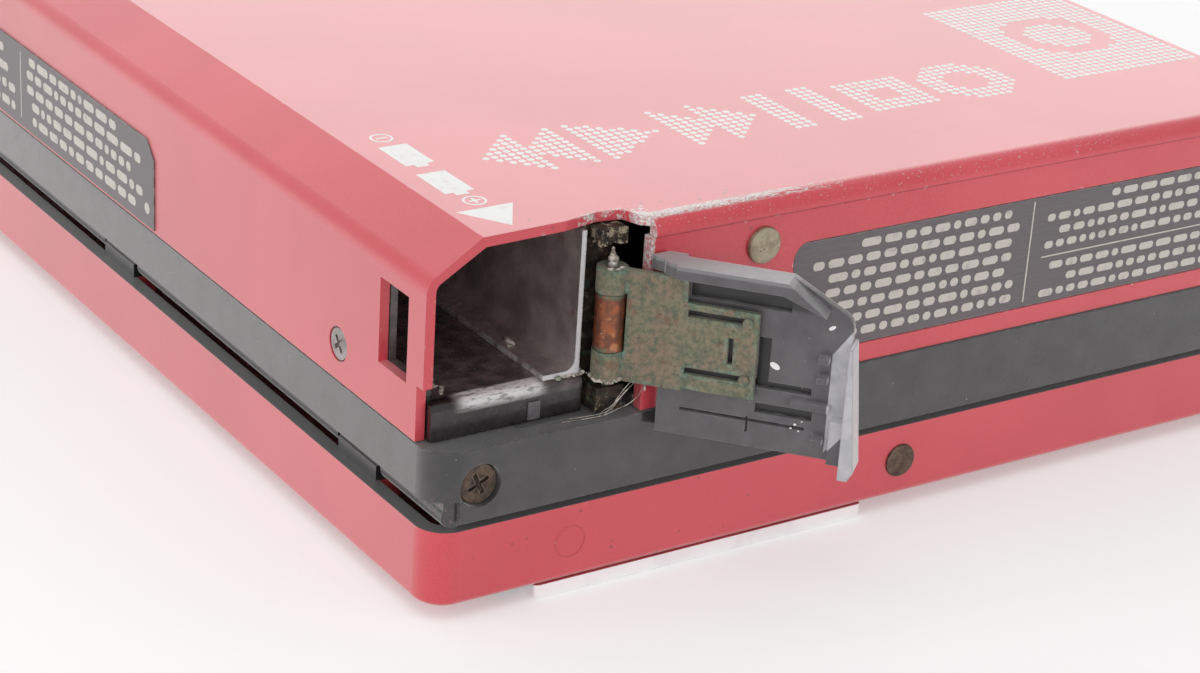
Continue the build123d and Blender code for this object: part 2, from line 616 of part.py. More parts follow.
def drive_belt():
    """Square belt in the pulley's and the flywheel's grooves, as two arcs and two straights."""
    dx, dy = CAPSTAN_X - MOTOR_X, CAPSTAN_Y - MOTOR_Y
    span = math.hypot(dx, dy)
    r0, r1 = PULLEY_R + 0.06, FLYWHEEL_R - 0.5 + 0.06
    across = math.asin((r1 - r0) / span)
    along = math.atan2(dy, dx)

    def outline(grow):
        corners = []
        for side in (1, -1):
            normal = along + side * (math.pi / 2 + across)
            for cx, cy, r in ((MOTOR_X, MOTOR_Y, r0 + grow), (CAPSTAN_X, CAPSTAN_Y, r1 + grow)):
                corners.append((cx + r * math.cos(normal), cy + r * math.sin(normal)))
        a, b, c, d = corners
        strip = make_face(Polyline(a, b, d, c, close=True))
        small = Pos(MOTOR_X, MOTOR_Y) * Circle(r0 + grow)
        large = Pos(CAPSTAN_X, CAPSTAN_Y) * Circle(r1 + grow)
        return strip + small + large

    ring = outline(0.5) - outline(0)
    return Pos(0, 0, BELT_Z - 0.3) * extrude(ring, 0.6)


def idler_place():
    """Centre and radius of the idler between the flywheel's hub and the take-up reel."""
    reel_y = MIDDLE_Y + REEL_SPACING / 2
    dx, dy = REEL_X - CAPSTAN_X, reel_y - CAPSTAN_Y
    span = math.hypot(dx, dy)
    radius = (span - DRIVE_R - REEL_R) / 2 - 0.05
    reach = (DRIVE_R + 0.05 + radius) / span
    return CAPSTAN_X + dx * reach, CAPSTAN_Y + dy * reach, radius


def idler_wheel():
    x, y, radius = idler_place()
    wheel = rod_z(x, y, radius, 19.3, 20.7) - rod_z(x, y, 0.75, 15, 24)
    groove = rod_z(x, y, radius - 1.2, 20.2, 21) - rod_z(x, y, 2.2, 15, 24)
    return wheel - groove


def idler_post():
    x, y, _ = idler_place()
    return rod_z(x, y, 0.7, DECK_TOP, 21.6)


def reel(side):
    """Reel spindle with its drive disc above the deck and its splined hub in the cassette bay."""
    y = MIDDLE_Y + side * REEL_SPACING / 2
    spindle = rod_z(REEL_X, y, 1.5, 12.0, 19.5)
    spindle += rod_z(REEL_X, y, 2.6, 7.6, 12.2)
    spindle += rod_z(REEL_X, y, REEL_R, 19.3, 20.7)
    for k in range(6):
        fin = Pos(REEL_X, y, 10.0) * Rot(0, 0, 60 * k) * Pos(2.7, 0, 0) * Box(1.3, 0.8, 4.0)
        spindle += fin
    return spindle


def head_slide():
    """Plate under the deck that carries the head and the pinch roller's fork."""
    plate = block(76.4, 81.6, 46.0, 90.0, 13.0, 13.7)
    post = rod_z(PINCH_X, CAPSTAN_Y, 0.7, 5.6, 13.2)
    return plate + post


def playback_head():
    head = block(75.6, 80.4, 51.0, 63.0, 5.4, 13.0)
    face = [e for e in head.edges().filter_by(Axis.Z) if e.center().X < 75.7]
    return fillet(face, 2.0)


def pinch_roller():
    return rod_z(PINCH_X, CAPSTAN_Y, PINCH_R, 6.4, 11.6) - rod_z(PINCH_X, CAPSTAN_Y, 0.75, 0, 20)


def circuit_board():
    board = block(19.0, WIDTH - 6.5, 8.0, 100.0, BOARD_LOW, BOARD_LOW + 1.0)
    return board - block(20, 24, 7, 12, 20, 30)


def board_parts():
    """Cans, chips and coils hanging under the board."""
    parts = []
    cans = ((24, 28, 2.5, 5), (24, 36, 2.5, 5), (32, 20, 3.2, 5.5), (50, 94, 2.5, 5), (80, 70, 2.0, 4))
    for x, y, r, h in cans:
        parts.append(rod_z(x, y, r, BOARD_LOW - h, BOARD_LOW))
    chips = ((44, 24, 14, 6), (56, 20, 10, 5), (30, 50, 6, 12), (60, 56, 8, 8))
    for x, y, w, d in chips:
        parts.append(block(x - w / 2, x + w / 2, y - d / 2, y + d / 2, BOARD_LOW - 2.0, BOARD_LOW))
    return Compound(children=parts)


def jack(x, bore_r, collar_r):
    """Socket behind the far panel with its ring outside."""
    y1 = LENGTH - 1.2
    body = block(x - 4.0, x + 4.0, y1 - 12.0, y1, JACK_Z - 4.0, JACK_Z + 4.0)
    ring = rod_y(x, JACK_Z, collar_r, y1 - 0.1, LENGTH + 0.2)
    return body + ring - rod_y(x, JACK_Z, bore_r, y1 - 11.0, LENGTH + 1)


def volume_wheel():
    """Knurled thumbwheel that stands a little out of the far end."""
    wheel = rod_z(VOLUME_X, VOLUME_Y, VOLUME_R - 0.25, 18.8, 22.2)
    for k in range(40):
        turn = Rot(0, 0, 9.0 * k)
        wheel += Pos(VOLUME_X, VOLUME_Y, 20.5) * turn * Pos(VOLUME_R - 0.3, 0, 0) * Box(0.6, 0.45, 3.4)
    return wheel - rod_z(VOLUME_X, VOLUME_Y, 1.05, 10, 30)


def volume_shaft():
    shaft = rod_z(VOLUME_X, VOLUME_Y, 1.0, 17.2, 23.6)
    return shaft + block(VOLUME_X - 4, VOLUME_X + 4, VOLUME_Y - 4, VOLUME_Y + 4, DECK_TOP, 17.4)


def tone_switch():
    knob = block(TONE_X - 2.0, TONE_X + 2.0, LENGTH - 1.6, LENGTH + 1.0, 19.4, 21.6)
    for k in (-1, 0, 1):
        knob -= block(TONE_X + k * 1.1 - 0.2, TONE_X + k * 1.1 + 0.2, LENGTH + 0.6, LENGTH + 2, 0, 40)
    return knob + block(TONE_X - 2.6, TONE_X + 2.6, LENGTH - 2.8, LENGTH - 1.4, 18.6, 22.4)


def tone_switch_body():
    can = block(TONE_X - 5.0, TONE_X + 5.0, LENGTH - 7.0, LENGTH - 3.0, 17.8, 23.2)
    return can + block(TONE_X - 5.0, TONE_X + 5.0, LENGTH - 7.0, LENGTH - 5.0, DECK_TOP, 18.0)


def all_nodes():
    nodes = {
        "top_shell": top_shell(),
        "end_panel": end_panel(),
        "panel_pins": panel_pins(),
        "end_label": label_plate(*END_LABEL),
        "side_label": side_label(),
        "far_panel": far_panel(),
        "mid_frame": mid_frame(),
        "band_screws": band_screws(),
        "side_screws": side_screws(),
        "chassis_plate": chassis_plate(),
        "battery_tray": battery_tray(),
        "tray_liner": tray_liner(),
        "battery_spring": battery_spring(),
        "hinge_bracket": hinge_bracket(),
        "hinge_pin": hinge_pin(),
        "copper_roller": copper_roller(),
        "contact_plate": contact_plate(),
        "battery_door": battery_door(),
        "door_rivets": door_rivets(),
        "cassette_lid": cassette_lid(),
        "lid_stud": lid_stud(),
        "painted_rivet": painted_rivet(),
        "chrome_plate": chrome_plate(),
        "trim_strip": trim_strip(),
        "window_frame": window_frame(),
        "cassette_window": cassette_window(),
        "pressure_springs": pressure_springs(),
        "lid_hinge_rod": hinge_rod(),
        "key_return_spring": key_spring(),
        "lid_release": lid_release(),
        "motor": motor(),
        "motor_pulley": motor_pulley(),
        "capstan_flywheel": flywheel(),
        "drive_belt": drive_belt(),
        "idler_wheel": idler_wheel(),
        "idler_post": idler_post(),
        "takeup_reel": reel(1),
        "supply_reel": reel(-1),
        "head_slide": head_slide(),
        "playback_head": playback_head(),
        "pinch_roller": pinch_roller(),
        "circuit_board": circuit_board(),
        "board_parts": board_parts(),
        "headphone_jack_a": jack(JACK_X[0], 1.8, 3.1),
        "headphone_jack_b": jack(JACK_X[1], 1.8, 3.1),
        "power_jack": jack(POWER_X, 1.3, 2.6),
        "volume_wheel": volume_wheel(),
        "volume_shaft": volume_shaft(),
        "tone_switch": tone_switch(),
        "tone_switch_body": tone_switch_body(),
    }
    for n, name in enumerate(KEY_NAMES):
        nodes[name] = transport_key(n)
    return nodes


def main():
    os.makedirs("parts", exist_ok=True)
    for name, part in all_nodes().items():
        placed = Pos(-WIDTH / 2, -MIDDLE_Y, 0) * part
        export_step(placed, f"parts/{name}.step")


main()
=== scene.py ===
import math
import random

import bmesh
import bpy
from mathutils import Matrix, Vector


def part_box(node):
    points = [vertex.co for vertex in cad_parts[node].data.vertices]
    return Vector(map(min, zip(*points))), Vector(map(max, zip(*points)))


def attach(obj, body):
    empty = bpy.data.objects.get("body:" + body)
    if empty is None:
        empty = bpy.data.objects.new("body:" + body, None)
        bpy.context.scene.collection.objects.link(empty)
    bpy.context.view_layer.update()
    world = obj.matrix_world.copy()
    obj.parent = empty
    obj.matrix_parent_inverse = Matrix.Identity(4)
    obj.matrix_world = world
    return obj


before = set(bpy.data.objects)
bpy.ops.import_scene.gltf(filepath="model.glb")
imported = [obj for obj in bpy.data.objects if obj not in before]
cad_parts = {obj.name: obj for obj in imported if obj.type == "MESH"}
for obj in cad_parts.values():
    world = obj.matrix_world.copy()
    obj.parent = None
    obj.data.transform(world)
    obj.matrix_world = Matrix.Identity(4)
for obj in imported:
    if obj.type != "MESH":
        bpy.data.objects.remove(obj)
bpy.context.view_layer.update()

# Places are given in millimetres from the case's front left bottom corner, as x, y, z
MM = 0.001
SHELL_LOW, SHELL_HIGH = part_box("top_shell")
CORNER = Vector((SHELL_LOW.x, SHELL_LOW.y, 0.0))
WIDTH = (SHELL_HIGH.x - SHELL_LOW.x) / MM
TOP = SHELL_HIGH.z / MM

# Hinge pin of the battery door, and how the open door lies from its closed place
PIN_X, PIN_Y = 15.7, 1.7
HINGE = Vector((PIN_X, PIN_Y))
OPEN_ANGLE = math.radians(131.5)
SLIDE_OUT, DROP = 2.6, 1.5
DOOR_TOP = 28.45
DOOR_PLATE = 1.12      # depth of the face inside the door

# Other places on the case, in millimetres from its corner
TRAY_FLOOR = 17.0
TRAY_FRONT = 2.15
END_LABEL_DEPTH = 0.2
SIDE_LABEL_DEPTH = 0.15
RIVET_X, RIVET_Z = 12.3, 4.35
BAND_SCREW = (4.1, 0.5, 10.9)
KEY_MIDDLES = {"rewind_key": 22.5, "forward_key": 36.5, "play_key": 50.5, "stop_key": 64.5}

# Pitch of the dots that are printed on the top
DOT_PITCH = 0.77

# Camera, at the photograph's angle
CAMERA_PLACE = (-0.14155, -0.21854, 0.10691)
CAMERA_YAW = math.radians(34.34)
CAMERA_PITCH = math.radians(23.69)
CAMERA_ROLL = math.radians(-3.73)
LENS, SENSOR = 86.85, 36.0

# Lamps: direction from the case, distance and size in metres, and radiance
LAMPS = {
    "back_softbox": ((0.45, 0.80, 0.42), 1.3, (1.5, 0.8), 0.72),
    "top_softbox": ((-0.25, -0.1, 1.0), 1.2, (0.9, 0.9), 0.85),
    "left_softbox": ((-1.0, 0.2, 0.35), 1.3, (0.9, 0.6), 1.8),
    "front_softbox": ((-0.35, -1.0, 0.35), 1.3, (0.9, 0.6), 1.5),
}
WORLD_STRENGTH = 0.6
FLOOR_SHADE, FLOOR_GLOW = 0.78, 0.31


def at(x, y, z):
    """A point in the frame's metres from its place on the case in millimetres."""
    return CORNER + Vector((x, y, z)) * MM


def linear(red, green, blue):
    """A colour written as 0 to 255, as the shaders take it."""
    def channel(value):
        value /= 255
        return value / 12.92 if value <= 0.04045 else ((value + 0.055) / 1.055) ** 2.4
    return (channel(red), channel(green), channel(blue))


# Camera, floor and light

def add_camera():
    forward = Vector((math.sin(CAMERA_YAW) * math.cos(CAMERA_PITCH),
                      math.cos(CAMERA_YAW) * math.cos(CAMERA_PITCH), -math.sin(CAMERA_PITCH)))
    level = Vector((math.cos(CAMERA_YAW), -math.sin(CAMERA_YAW), 0))
    down = forward.cross(level)
    right = level * math.cos(CAMERA_ROLL) + down * math.sin(CAMERA_ROLL)
    down = down * math.cos(CAMERA_ROLL) - level * math.sin(CAMERA_ROLL)
    data = bpy.data.cameras.new("camera")
    data.lens = LENS
    data.sensor_width = SENSOR
    camera = bpy.data.objects.new("camera", data)
    axes = Matrix((right, -down, -forward)).transposed()
    camera.matrix_world = Matrix.Translation(CAMERA_PLACE) @ axes.to_4x4()
    bpy.context.scene.collection.objects.link(camera)
    bpy.context.scene.camera = camera


def add_lamp(name, direction, distance, size, radiance):
    """A soft square lamp that faces the case from a direction."""
    data = bpy.data.lights.new(name, "AREA")
    data.shape = "RECTANGLE"
    data.size, data.size_y = size
    data.energy = radiance * math.pi * size[0] * size[1]
    lamp = bpy.data.objects.new(name, data)
    away = Vector(direction).normalized()
    lamp.location = away * distance
    lamp.rotation_euler = away.to_track_quat("Z", "Y").to_euler()
    lamp.visible_camera = False
    bpy.context.scene.collection.objects.link(lamp)


def add_floor():
    """A pale floor that curves up far behind into a backdrop."""
    span, rise, curve, steps = 1.6, 1.4, 0.5, 10
    profile = [(-span, 0.0)]
    for k in range(steps + 1):
        angle = math.pi / 2 * k / steps
        profile.append((span - curve + curve * math.sin(angle), curve - curve * math.cos(angle)))
    profile.append((span, rise))
    mesh = bpy.data.meshes.new("floor")
    verts = [(side * span * 1.5, y, z) for y, z in profile for side in (-1, 1)]
    faces = [(2 * k, 2 * k + 1, 2 * k + 3, 2 * k + 2) for k in range(len(profile) - 1)]
    mesh.from_pydata(verts, [], faces)
    for polygon in mesh.polygons:
        polygon.use_smooth = True
    floor = bpy.data.objects.new("floor", mesh)
    floor.rotation_euler = (0, 0, -CAMERA_YAW)
    bpy.context.scene.collection.objects.link(floor)
    mesh.materials.append(floor_material())


def floor_material():
    """Pale, with a glow for camera and glossy rays alone that keeps the case's shadow."""
    material = bpy.data.materials.new("floor")
    material.use_nodes = True
    tree = material.node_tree
    surface = tree.nodes["Principled BSDF"]
    surface.inputs["Base Color"].default_value = (FLOOR_SHADE, FLOOR_SHADE, FLOOR_SHADE, 1)
    surface.inputs["Roughness"].default_value = 0.8
    surface.inputs["Emission Color"].default_value = (1, 1, 1, 1)
    path = tree.nodes.new("ShaderNodeLightPath")
    seen = tree.nodes.new("ShaderNodeMath")
    seen.operation = "MAXIMUM"
    glow = tree.nodes.new("ShaderNodeMath")
    glow.operation = "MULTIPLY"
    glow.inputs[1].default_value = FLOOR_GLOW
    tree.links.new(path.outputs["Is Camera Ray"], seen.inputs[0])
    tree.links.new(path.outputs["Is Glossy Ray"], seen.inputs[1])
    tree.links.new(seen.outputs[0], glow.inputs[0])
    tree.links.new(glow.outputs[0], surface.inputs["Emission Strength"])
    return material


def add_world():
    world = bpy.data.worlds.new("world")
    world.use_nodes = True
    background = world.node_tree.nodes["Background"]
    background.inputs["Color"].default_value = (1, 1, 1, 1)
    background.inputs["Strength"].default_value = WORLD_STRENGTH
    bpy.context.scene.world = world


def add_stage():
    bpy.context.scene.view_settings.view_transform = "Standard"
    add_camera()
    add_floor()
    add_world()
    for name, settings in LAMPS.items():
        add_lamp(name, *settings)


# Materials

# Sockets of a mix node that mixes colours
MIX_FIRST, MIX_SECOND, MIX_RESULT = 6, 7, 2


class Look:
    """A material under construction. Most methods add a node and return its output."""

    def __init__(self, name, colour, rough, metal=0.0, **sockets):
        self.material = bpy.data.materials.new(name)
        self.material.use_nodes = True
        self.tree = self.material.node_tree
        self.surface = self.tree.nodes["Principled BSDF"]
        self.place = None
        self.set("Base Color", colour)
        self.set("Roughness", rough)
        self.set("Metallic", metal)
        for socket, value in sockets.items():
            self.set(socket.replace("_", " "), value)

    def set(self, socket, value):
        self.join(value, self.surface.inputs[socket])

    def join(self, value, socket):
        """Links an output to a socket, or sets the socket to a plain value."""
        if isinstance(value, bpy.types.NodeSocket):
            self.tree.links.new(value, socket)
        elif socket.type == "RGBA":
            socket.default_value = (*value, 1)
        else:
            socket.default_value = value

    def add(self, kind, **settings):
        added = self.tree.nodes.new(kind)
        for name, value in settings.items():
            setattr(added, name, value)
        return added

    def point(self):
        """The shaded point in millimetres from the case's corner."""
        if self.place is None:
            source = self.add("ShaderNodeTexCoord")
            scaled = self.add("ShaderNodeVectorMath", operation="MULTIPLY_ADD")
            self.join(source.outputs["Object"], scaled.inputs[0])
            scaled.inputs[1].default_value = (1 / MM,) * 3
            scaled.inputs[2].default_value = -CORNER / MM
            self.place = scaled.outputs[0]
        return self.place

    def axis(self, name):
        split = self.add("ShaderNodeSeparateXYZ")
        self.join(self.point(), split.inputs[0])
        return split.outputs[name]

    def door_axis(self, name):
        """A coordinate of the shaded point on the closed battery door."""
        if name == "Z":
            return self.math("ADD", self.axis("Z"), DROP)
        turned = OPEN_ANGLE if name == "X" else OPEN_ANGLE + math.pi / 2
        direction = Vector((math.cos(turned), math.sin(turned), 0))
        product = self.add("ShaderNodeVectorMath", operation="DOT_PRODUCT")
        self.join(self.point(), product.inputs[0])
        product.inputs[1].default_value = direction
        start = HINGE.x + SLIDE_OUT if name == "X" else HINGE.y
        return self.math("ADD", product.outputs["Value"], start - direction.xy.dot(HINGE))

    def all_of(self, first, *others):
        """The product of several masks."""
        for mask in others:
            first = self.math("MULTIPLY", first, mask)
        return first

    def any_of(self, first, *others):
        """The greatest of several masks."""
        for mask in others:
            first = self.math("MAXIMUM", first, mask)
        return first

    def stretched(self, factors):
        """The shaded point with its coordinates multiplied, which squeezes a texture."""
        scaled = self.add("ShaderNodeVectorMath", operation="MULTIPLY")
        self.join(self.point(), scaled.inputs[0])
        scaled.inputs[1].default_value = factors
        return scaled.outputs[0]

    def noise(self, scale, detail=2.0, stretch=None, rough=0.5):
        """Noise from 0 to 1, with its scale in waves per millimetre."""
        texture = self.add("ShaderNodeTexNoise")
        self.join(self.stretched(stretch) if stretch else self.point(), texture.inputs["Vector"])
        texture.inputs["Scale"].default_value = scale
        texture.inputs["Detail"].default_value = detail
        texture.inputs["Roughness"].default_value = rough
        return texture.outputs["Fac"]

    def cells(self, scale):
        """Distance from the nearest of many scattered points, which makes round specks."""
        texture = self.add("ShaderNodeTexVoronoi")
        self.join(self.point(), texture.inputs["Vector"])
        texture.inputs["Scale"].default_value = scale
        return texture.outputs["Distance"]

    def math(self, operation, first, second=0.0):
        added = self.add("ShaderNodeMath", operation=operation)
        self.join(first, added.inputs[0])
        self.join(second, added.inputs[1])
        return added.outputs[0]

    def ramp(self, value, low, high, start=0.0, end=1.0):
        """Takes a value from low to high smoothly to start to end."""
        added = self.add("ShaderNodeMapRange", interpolation_type="SMOOTHSTEP")
        for name, number in (("Value", value), ("From Min", low), ("From Max", high),
                             ("To Min", start), ("To Max", end)):
            self.join(number, added.inputs[name])
        return added.outputs[0]

    def patches(self, scale, detail, low, high, start=0.0, end=1.0, **settings):
        """Patches of noise, which go from start to end between two of its levels."""
        return self.ramp(self.noise(scale, detail, **settings), low, high, start, end)

    def vary_roughness(self, low, high, scale, detail, **settings):
        """Lets the roughness wander between two values."""
        self.set("Roughness", self.patches(scale, detail, 0.3, 0.7, low, high, **settings))

    def window(self, value, low, high, soft):
        """1 between two limits, fading to 0 over a soft edge outside them."""
        rise = self.ramp(value, low - soft, low)
        fall = self.ramp(value, high, high + soft, 1.0, 0.0)
        return self.math("MULTIPLY", rise, fall)

    def mix(self, factor, first, second):
        added = self.add("ShaderNodeMix", data_type="RGBA")
        self.join(factor, added.inputs[0])
        self.join(first, added.inputs[MIX_FIRST])
        self.join(second, added.inputs[MIX_SECOND])
        return added.outputs[MIX_RESULT]

    def edges(self, radius, low=0.01, high=0.12):
        """1 along the sharp edges of a piece, within a radius in millimetres."""
        bevel = self.add("ShaderNodeBevel", samples=4)
        bevel.inputs["Radius"].default_value = radius * MM
        true_normal = self.add("ShaderNodeNewGeometry").outputs["Normal"]
        product = self.add("ShaderNodeVectorMath", operation="DOT_PRODUCT")
        self.join(bevel.outputs[0], product.inputs[0])
        self.join(true_normal, product.inputs[1])
        return self.ramp(product.outputs["Value"], 1 - low, 1 - high)

    def bump(self, height, depth, soften=0.0):
        """Relief from a height of 0 to 1, with its depth in millimetres."""
        added = self.add("ShaderNodeBump")
        added.inputs["Distance"].default_value = depth * MM
        self.join(height, added.inputs["Height"])
        if soften:
            bevel = self.add("ShaderNodeBevel", samples=4)
            bevel.inputs["Radius"].default_value = soften * MM
            self.join(bevel.outputs[0], added.inputs["Normal"])
        self.set("Normal", added.outputs[0])


def red_paint():
    """Satin crimson metallic paint with fine grain, faint scuffs and edges worn to bare metal."""
    look = Look("red_paint", linear(214, 50, 66), 0.36, 0.15, Coat_Weight=0.8, Coat_Roughness=0.3,
                Sheen_Weight=1.0, Sheen_Roughness=0.4)
    x, y, z = look.axis("X"), look.axis("Y"), look.axis("Z")
    flake = look.noise(9.0, 2.0)
    cloud = look.noise(0.06, 3.0)
    tone = look.mix(look.ramp(cloud, 0.3, 0.7), linear(212, 52, 66), linear(224, 66, 80))
    tone = look.mix(look.ramp(flake, 0.35, 0.75, 0.0, 0.35), tone, linear(232, 92, 104))
    # Dirt spots round the notch for the battery door
    near_notch = look.all_of(look.window(x, 10.0, 24.0, 9.0), look.window(y, -1.0, 3.5, 4.0))
    spots = look.all_of(look.ramp(look.cells(1.1), 0.24, 0.10), near_notch,
                        look.patches(0.5, 2.0, 0.5, 0.62))
    tone = look.mix(look.math("MULTIPLY", spots, 0.6), tone, linear(96, 40, 44))
    # Bare metal along the rolled front edge, beside the notch, and at a few corners
    streaks = look.noise(1.6, 5.0, stretch=(0.8, 2.2, 2.2), rough=0.75)
    fade = look.ramp(x, 19.0, 42.0, 0.0, 0.20)
    torn = look.ramp(look.math("SUBTRACT", streaks, fade), 0.36, 0.43)
    on_edge = look.all_of(look.window(y, 0.85, 1.45, 0.3), look.ramp(z, 28.9, 29.3),
                          look.window(x, 17.3, 33.0, 5.0), torn)
    specks = look.all_of(look.window(y, 0.2, 1.5, 0.4), look.ramp(z, 28.3, 28.8),
                         look.window(x, 17.3, 60.0, 14.0), look.patches(4.0, 4.0, 0.60, 0.66, rough=0.8))
    ragged = look.patches(2.6, 5.0, 0.40, 0.50, rough=0.75)
    beside = look.all_of(look.window(x, 17.0, 18.2, 0.2), look.window(y, -1.0, 1.8, 0.5),
                         look.ramp(z, 24.6, 26.5), ragged)
    notch_rim = look.all_of(look.window(x, 13.4, 18.4, 0.6), look.window(y, 0.8, 3.0, 0.4),
                            look.ramp(z, 28.6, 29.2), look.patches(1.8, 4.0, 0.48, 0.55, rough=0.7))
    corner_wear = look.all_of(look.edges(0.35), look.patches(0.7, 4.0, 0.60, 0.68, rough=0.7))
    bare = look.any_of(on_edge, specks, beside, notch_rim, corner_wear)
    metal_tone = look.mix(look.patches(5.0, 3.0, 0.35, 0.65), linear(236, 228, 226), linear(196, 168, 164))
    tone = look.mix(bare, tone, metal_tone)
    # Painted shade in the gap under the band, and black on the lid's hinge knuckles that lie there
    gap_shade = look.all_of(look.ramp(z, 7.44, 7.47), look.ramp(z, 10.0, 9.8))
    look.set("Base Color", look.mix(gap_shade, tone, linear(26, 22, 23)))
    look.set("Roughness", look.ramp(bare, 0.0, 1.0, 0.36, 0.5))
    relief = look.math("ADD", look.noise(1.4, 2.0), look.math("MULTIPLY", flake, 0.25))
    relief = look.math("SUBTRACT", relief, look.math("MULTIPLY", bare, 1.5))
    look.bump(relief, 0.010, soften=0.12)
    return look.material


def black_gloss():
    """Glossy black band with a film of dust, specks and a scuffed corner."""
    base = linear(34, 31, 33)
    look = Look("black_gloss", base, 0.2, 0.0, Coat_Weight=0.6, Coat_Roughness=0.12,
                Sheen_Weight=0.8, Sheen_Roughness=0.45)
    x, y, z = look.axis("X"), look.axis("Y"), look.axis("Z")
    film = look.patches(0.35, 3.0, 0.3, 0.75, 0.0, 0.25)
    tone = look.mix(film, base, linear(94, 92, 97))
    speck = look.all_of(look.ramp(look.cells(0.9), 0.075, 0.045), look.patches(0.9, 1.0, 0.5, 0.6))
    tone = look.mix(look.math("MULTIPLY", speck, 0.8), tone, linear(178, 172, 168))
    at_corner = look.all_of(look.window(x, -1.0, 1.2, 1.5), look.window(y, -1.0, 1.2, 1.5),
                            look.ramp(z, 11.0, 8.6), look.ramp(z, 7.9, 8.0))
    scuff = look.all_of(at_corner, look.patches(2.4, 4.0, 0.56, 0.62, rough=0.7))
    tone = look.mix(look.math("MULTIPLY", at_corner, 0.7), tone, linear(30, 16, 18))
    tone = look.mix(look.math("MULTIPLY", scuff, 0.8), tone, linear(158, 118, 120))
    worn = look.all_of(look.edges(0.3), look.patches(1.1, 3.0, 0.55, 0.68, 0.0, 0.5))
    look.set("Base Color", look.mix(worn, tone, linear(140, 136, 134)))
    look.vary_roughness(0.16, 0.3, 0.5, 3.0)
    look.bump(look.math("ADD", look.noise(0.8, 2.0), scuff), 0.006, soften=0.12)
    return look.material


def door_plastic():
    """Charcoal plastic with painted light on its crown and painted shade inside, silver paint on its outer side
    and free end, and dust.
    """
    look = Look("door_plastic", linear(74, 72, 75), 0.34, 0.0, Coat_Weight=0.3, Coat_Roughness=0.3,
                Sheen_Weight=0.9, Sheen_Roughness=0.4)
    x, y, z = look.door_axis("X"), look.door_axis("Y"), look.door_axis("Z")
    tone = look.mix(look.patches(0.5, 4.0, 0.3, 0.7), linear(80, 77, 80), linear(96, 93, 96))
    # Painted shade in the recesses inside the door
    recess = look.all_of(look.window(y, 0.5, 1.05, 0.05), look.ramp(z, 27.6, 27.4))
    tone = look.mix(recess, tone, linear(26, 24, 26))
    # Painted light along the door's top, where it faces the light from above
    crown = look.ramp(z, DOOR_TOP - 0.35, DOOR_TOP - 0.2)
    tone = look.mix(look.math("MULTIPLY", crown, 0.8), tone, linear(136, 134, 137))
    # Painted shade under the door's roof
    shade_below_roof = look.all_of(look.window(x, 3.6, 13.4, 0.8), look.window(z, 26.0, 27.5, 0.5),
                             look.window(y, 0.9, 1.3, 0.1))
    tone = look.mix(look.math("MULTIPLY", shade_below_roof, 0.8), tone, linear(30, 26, 30))
    # Silver: the free end between two slanting lines, the wedge outside it and the outer side
    upper_slant = look.math("ADD", z, look.math("MULTIPLY", x, 1.5))
    lower_slant = look.math("ADD", z, look.math("MULTIPLY", x, 1.3))
    free_end = look.all_of(look.ramp(x, 1.42, 1.36), look.ramp(upper_slant, 24.95, 24.8),
                           look.ramp(lower_slant, 16.55, 16.7), look.ramp(y, 0.9, 1.0))
    painted = look.any_of(free_end, look.ramp(x, -0.02, -0.08), look.ramp(y, 0.12, 0.04))
    silver = look.mix(look.patches(1.2, 3.0, 0.3, 0.7), linear(198, 197, 201), linear(180, 179, 183))
    tone = look.mix(painted, tone, silver)
    dust = look.all_of(look.ramp(look.cells(1.3), 0.07, 0.04), look.patches(0.8, 1.0, 0.52, 0.6))
    tone = look.mix(look.math("MULTIPLY", dust, 0.7), tone, linear(186, 182, 178))
    worn = look.all_of(look.edges(0.18), look.patches(1.4, 3.0, 0.42, 0.64, 0.1, 0.5))
    look.set("Base Color", look.mix(worn, tone, linear(160, 157, 160)))
    look.vary_roughness(0.28, 0.44, 2.4, 3.0)
    look.bump(look.noise(7.0, 3.0), 0.008, soften=0.15)
    return look.material


def tray_plastic():
    """Black plastic, with a painted highlight along the tray's rounded front lip and painted shade below the
    lip and at its left end.
    """
    look = Look("black_plastic", linear(52, 47, 47), 0.3, 0.0, Coat_Weight=0.4, Coat_Roughness=0.15)
    x, y, z = look.axis("X"), look.axis("Y"), look.axis("Z")
    tone = look.mix(look.patches(0.7, 4.0, 0.35, 0.7), linear(66, 58, 58), linear(100, 90, 88))
    streak = look.patches(0.9, 4.0, 0.36, 0.52, stretch=(1.0, 4.0, 4.0), rough=0.7)
    # Painted highlight along the rounded lip, brightest at its top
    lip = look.all_of(look.window(y, 2.1, 3.3, 0.35), look.window(z, 16.15, 17.1, 0.2),
                      look.window(x, 4.2, 9.8, 1.4), look.ramp(streak, 0.0, 1.0, 0.35, 1.0),
                      look.ramp(z, 16.0, 16.7, 0.25, 0.9))
    # Painted shade below the lip and in the hole at the tray's left end
    below_lip = look.all_of(look.ramp(y, 2.5, 2.3), look.ramp(z, 16.2, 15.9))
    left_end = look.all_of(look.ramp(x, 3.0, 2.6), look.ramp(y, 3.6, 3.2))
    shaded = look.any_of(below_lip, left_end)
    tone = look.mix(look.math("MULTIPLY", shaded, 0.9), tone, linear(24, 20, 21))
    tone = look.mix(lip, tone, linear(238, 235, 236))
    dust = look.all_of(look.ramp(look.cells(1.5), 0.10, 0.05), look.patches(0.7, 2.0, 0.5, 0.6))
    look.set("Base Color", look.mix(look.math("MULTIPLY", dust, 0.6), tone, linear(150, 140, 132)))
    look.vary_roughness(0.18, 0.42, 2.0, 3.0)
    look.bump(look.noise(2.6, 4.0), 0.02, soften=0.1)
    return look.material


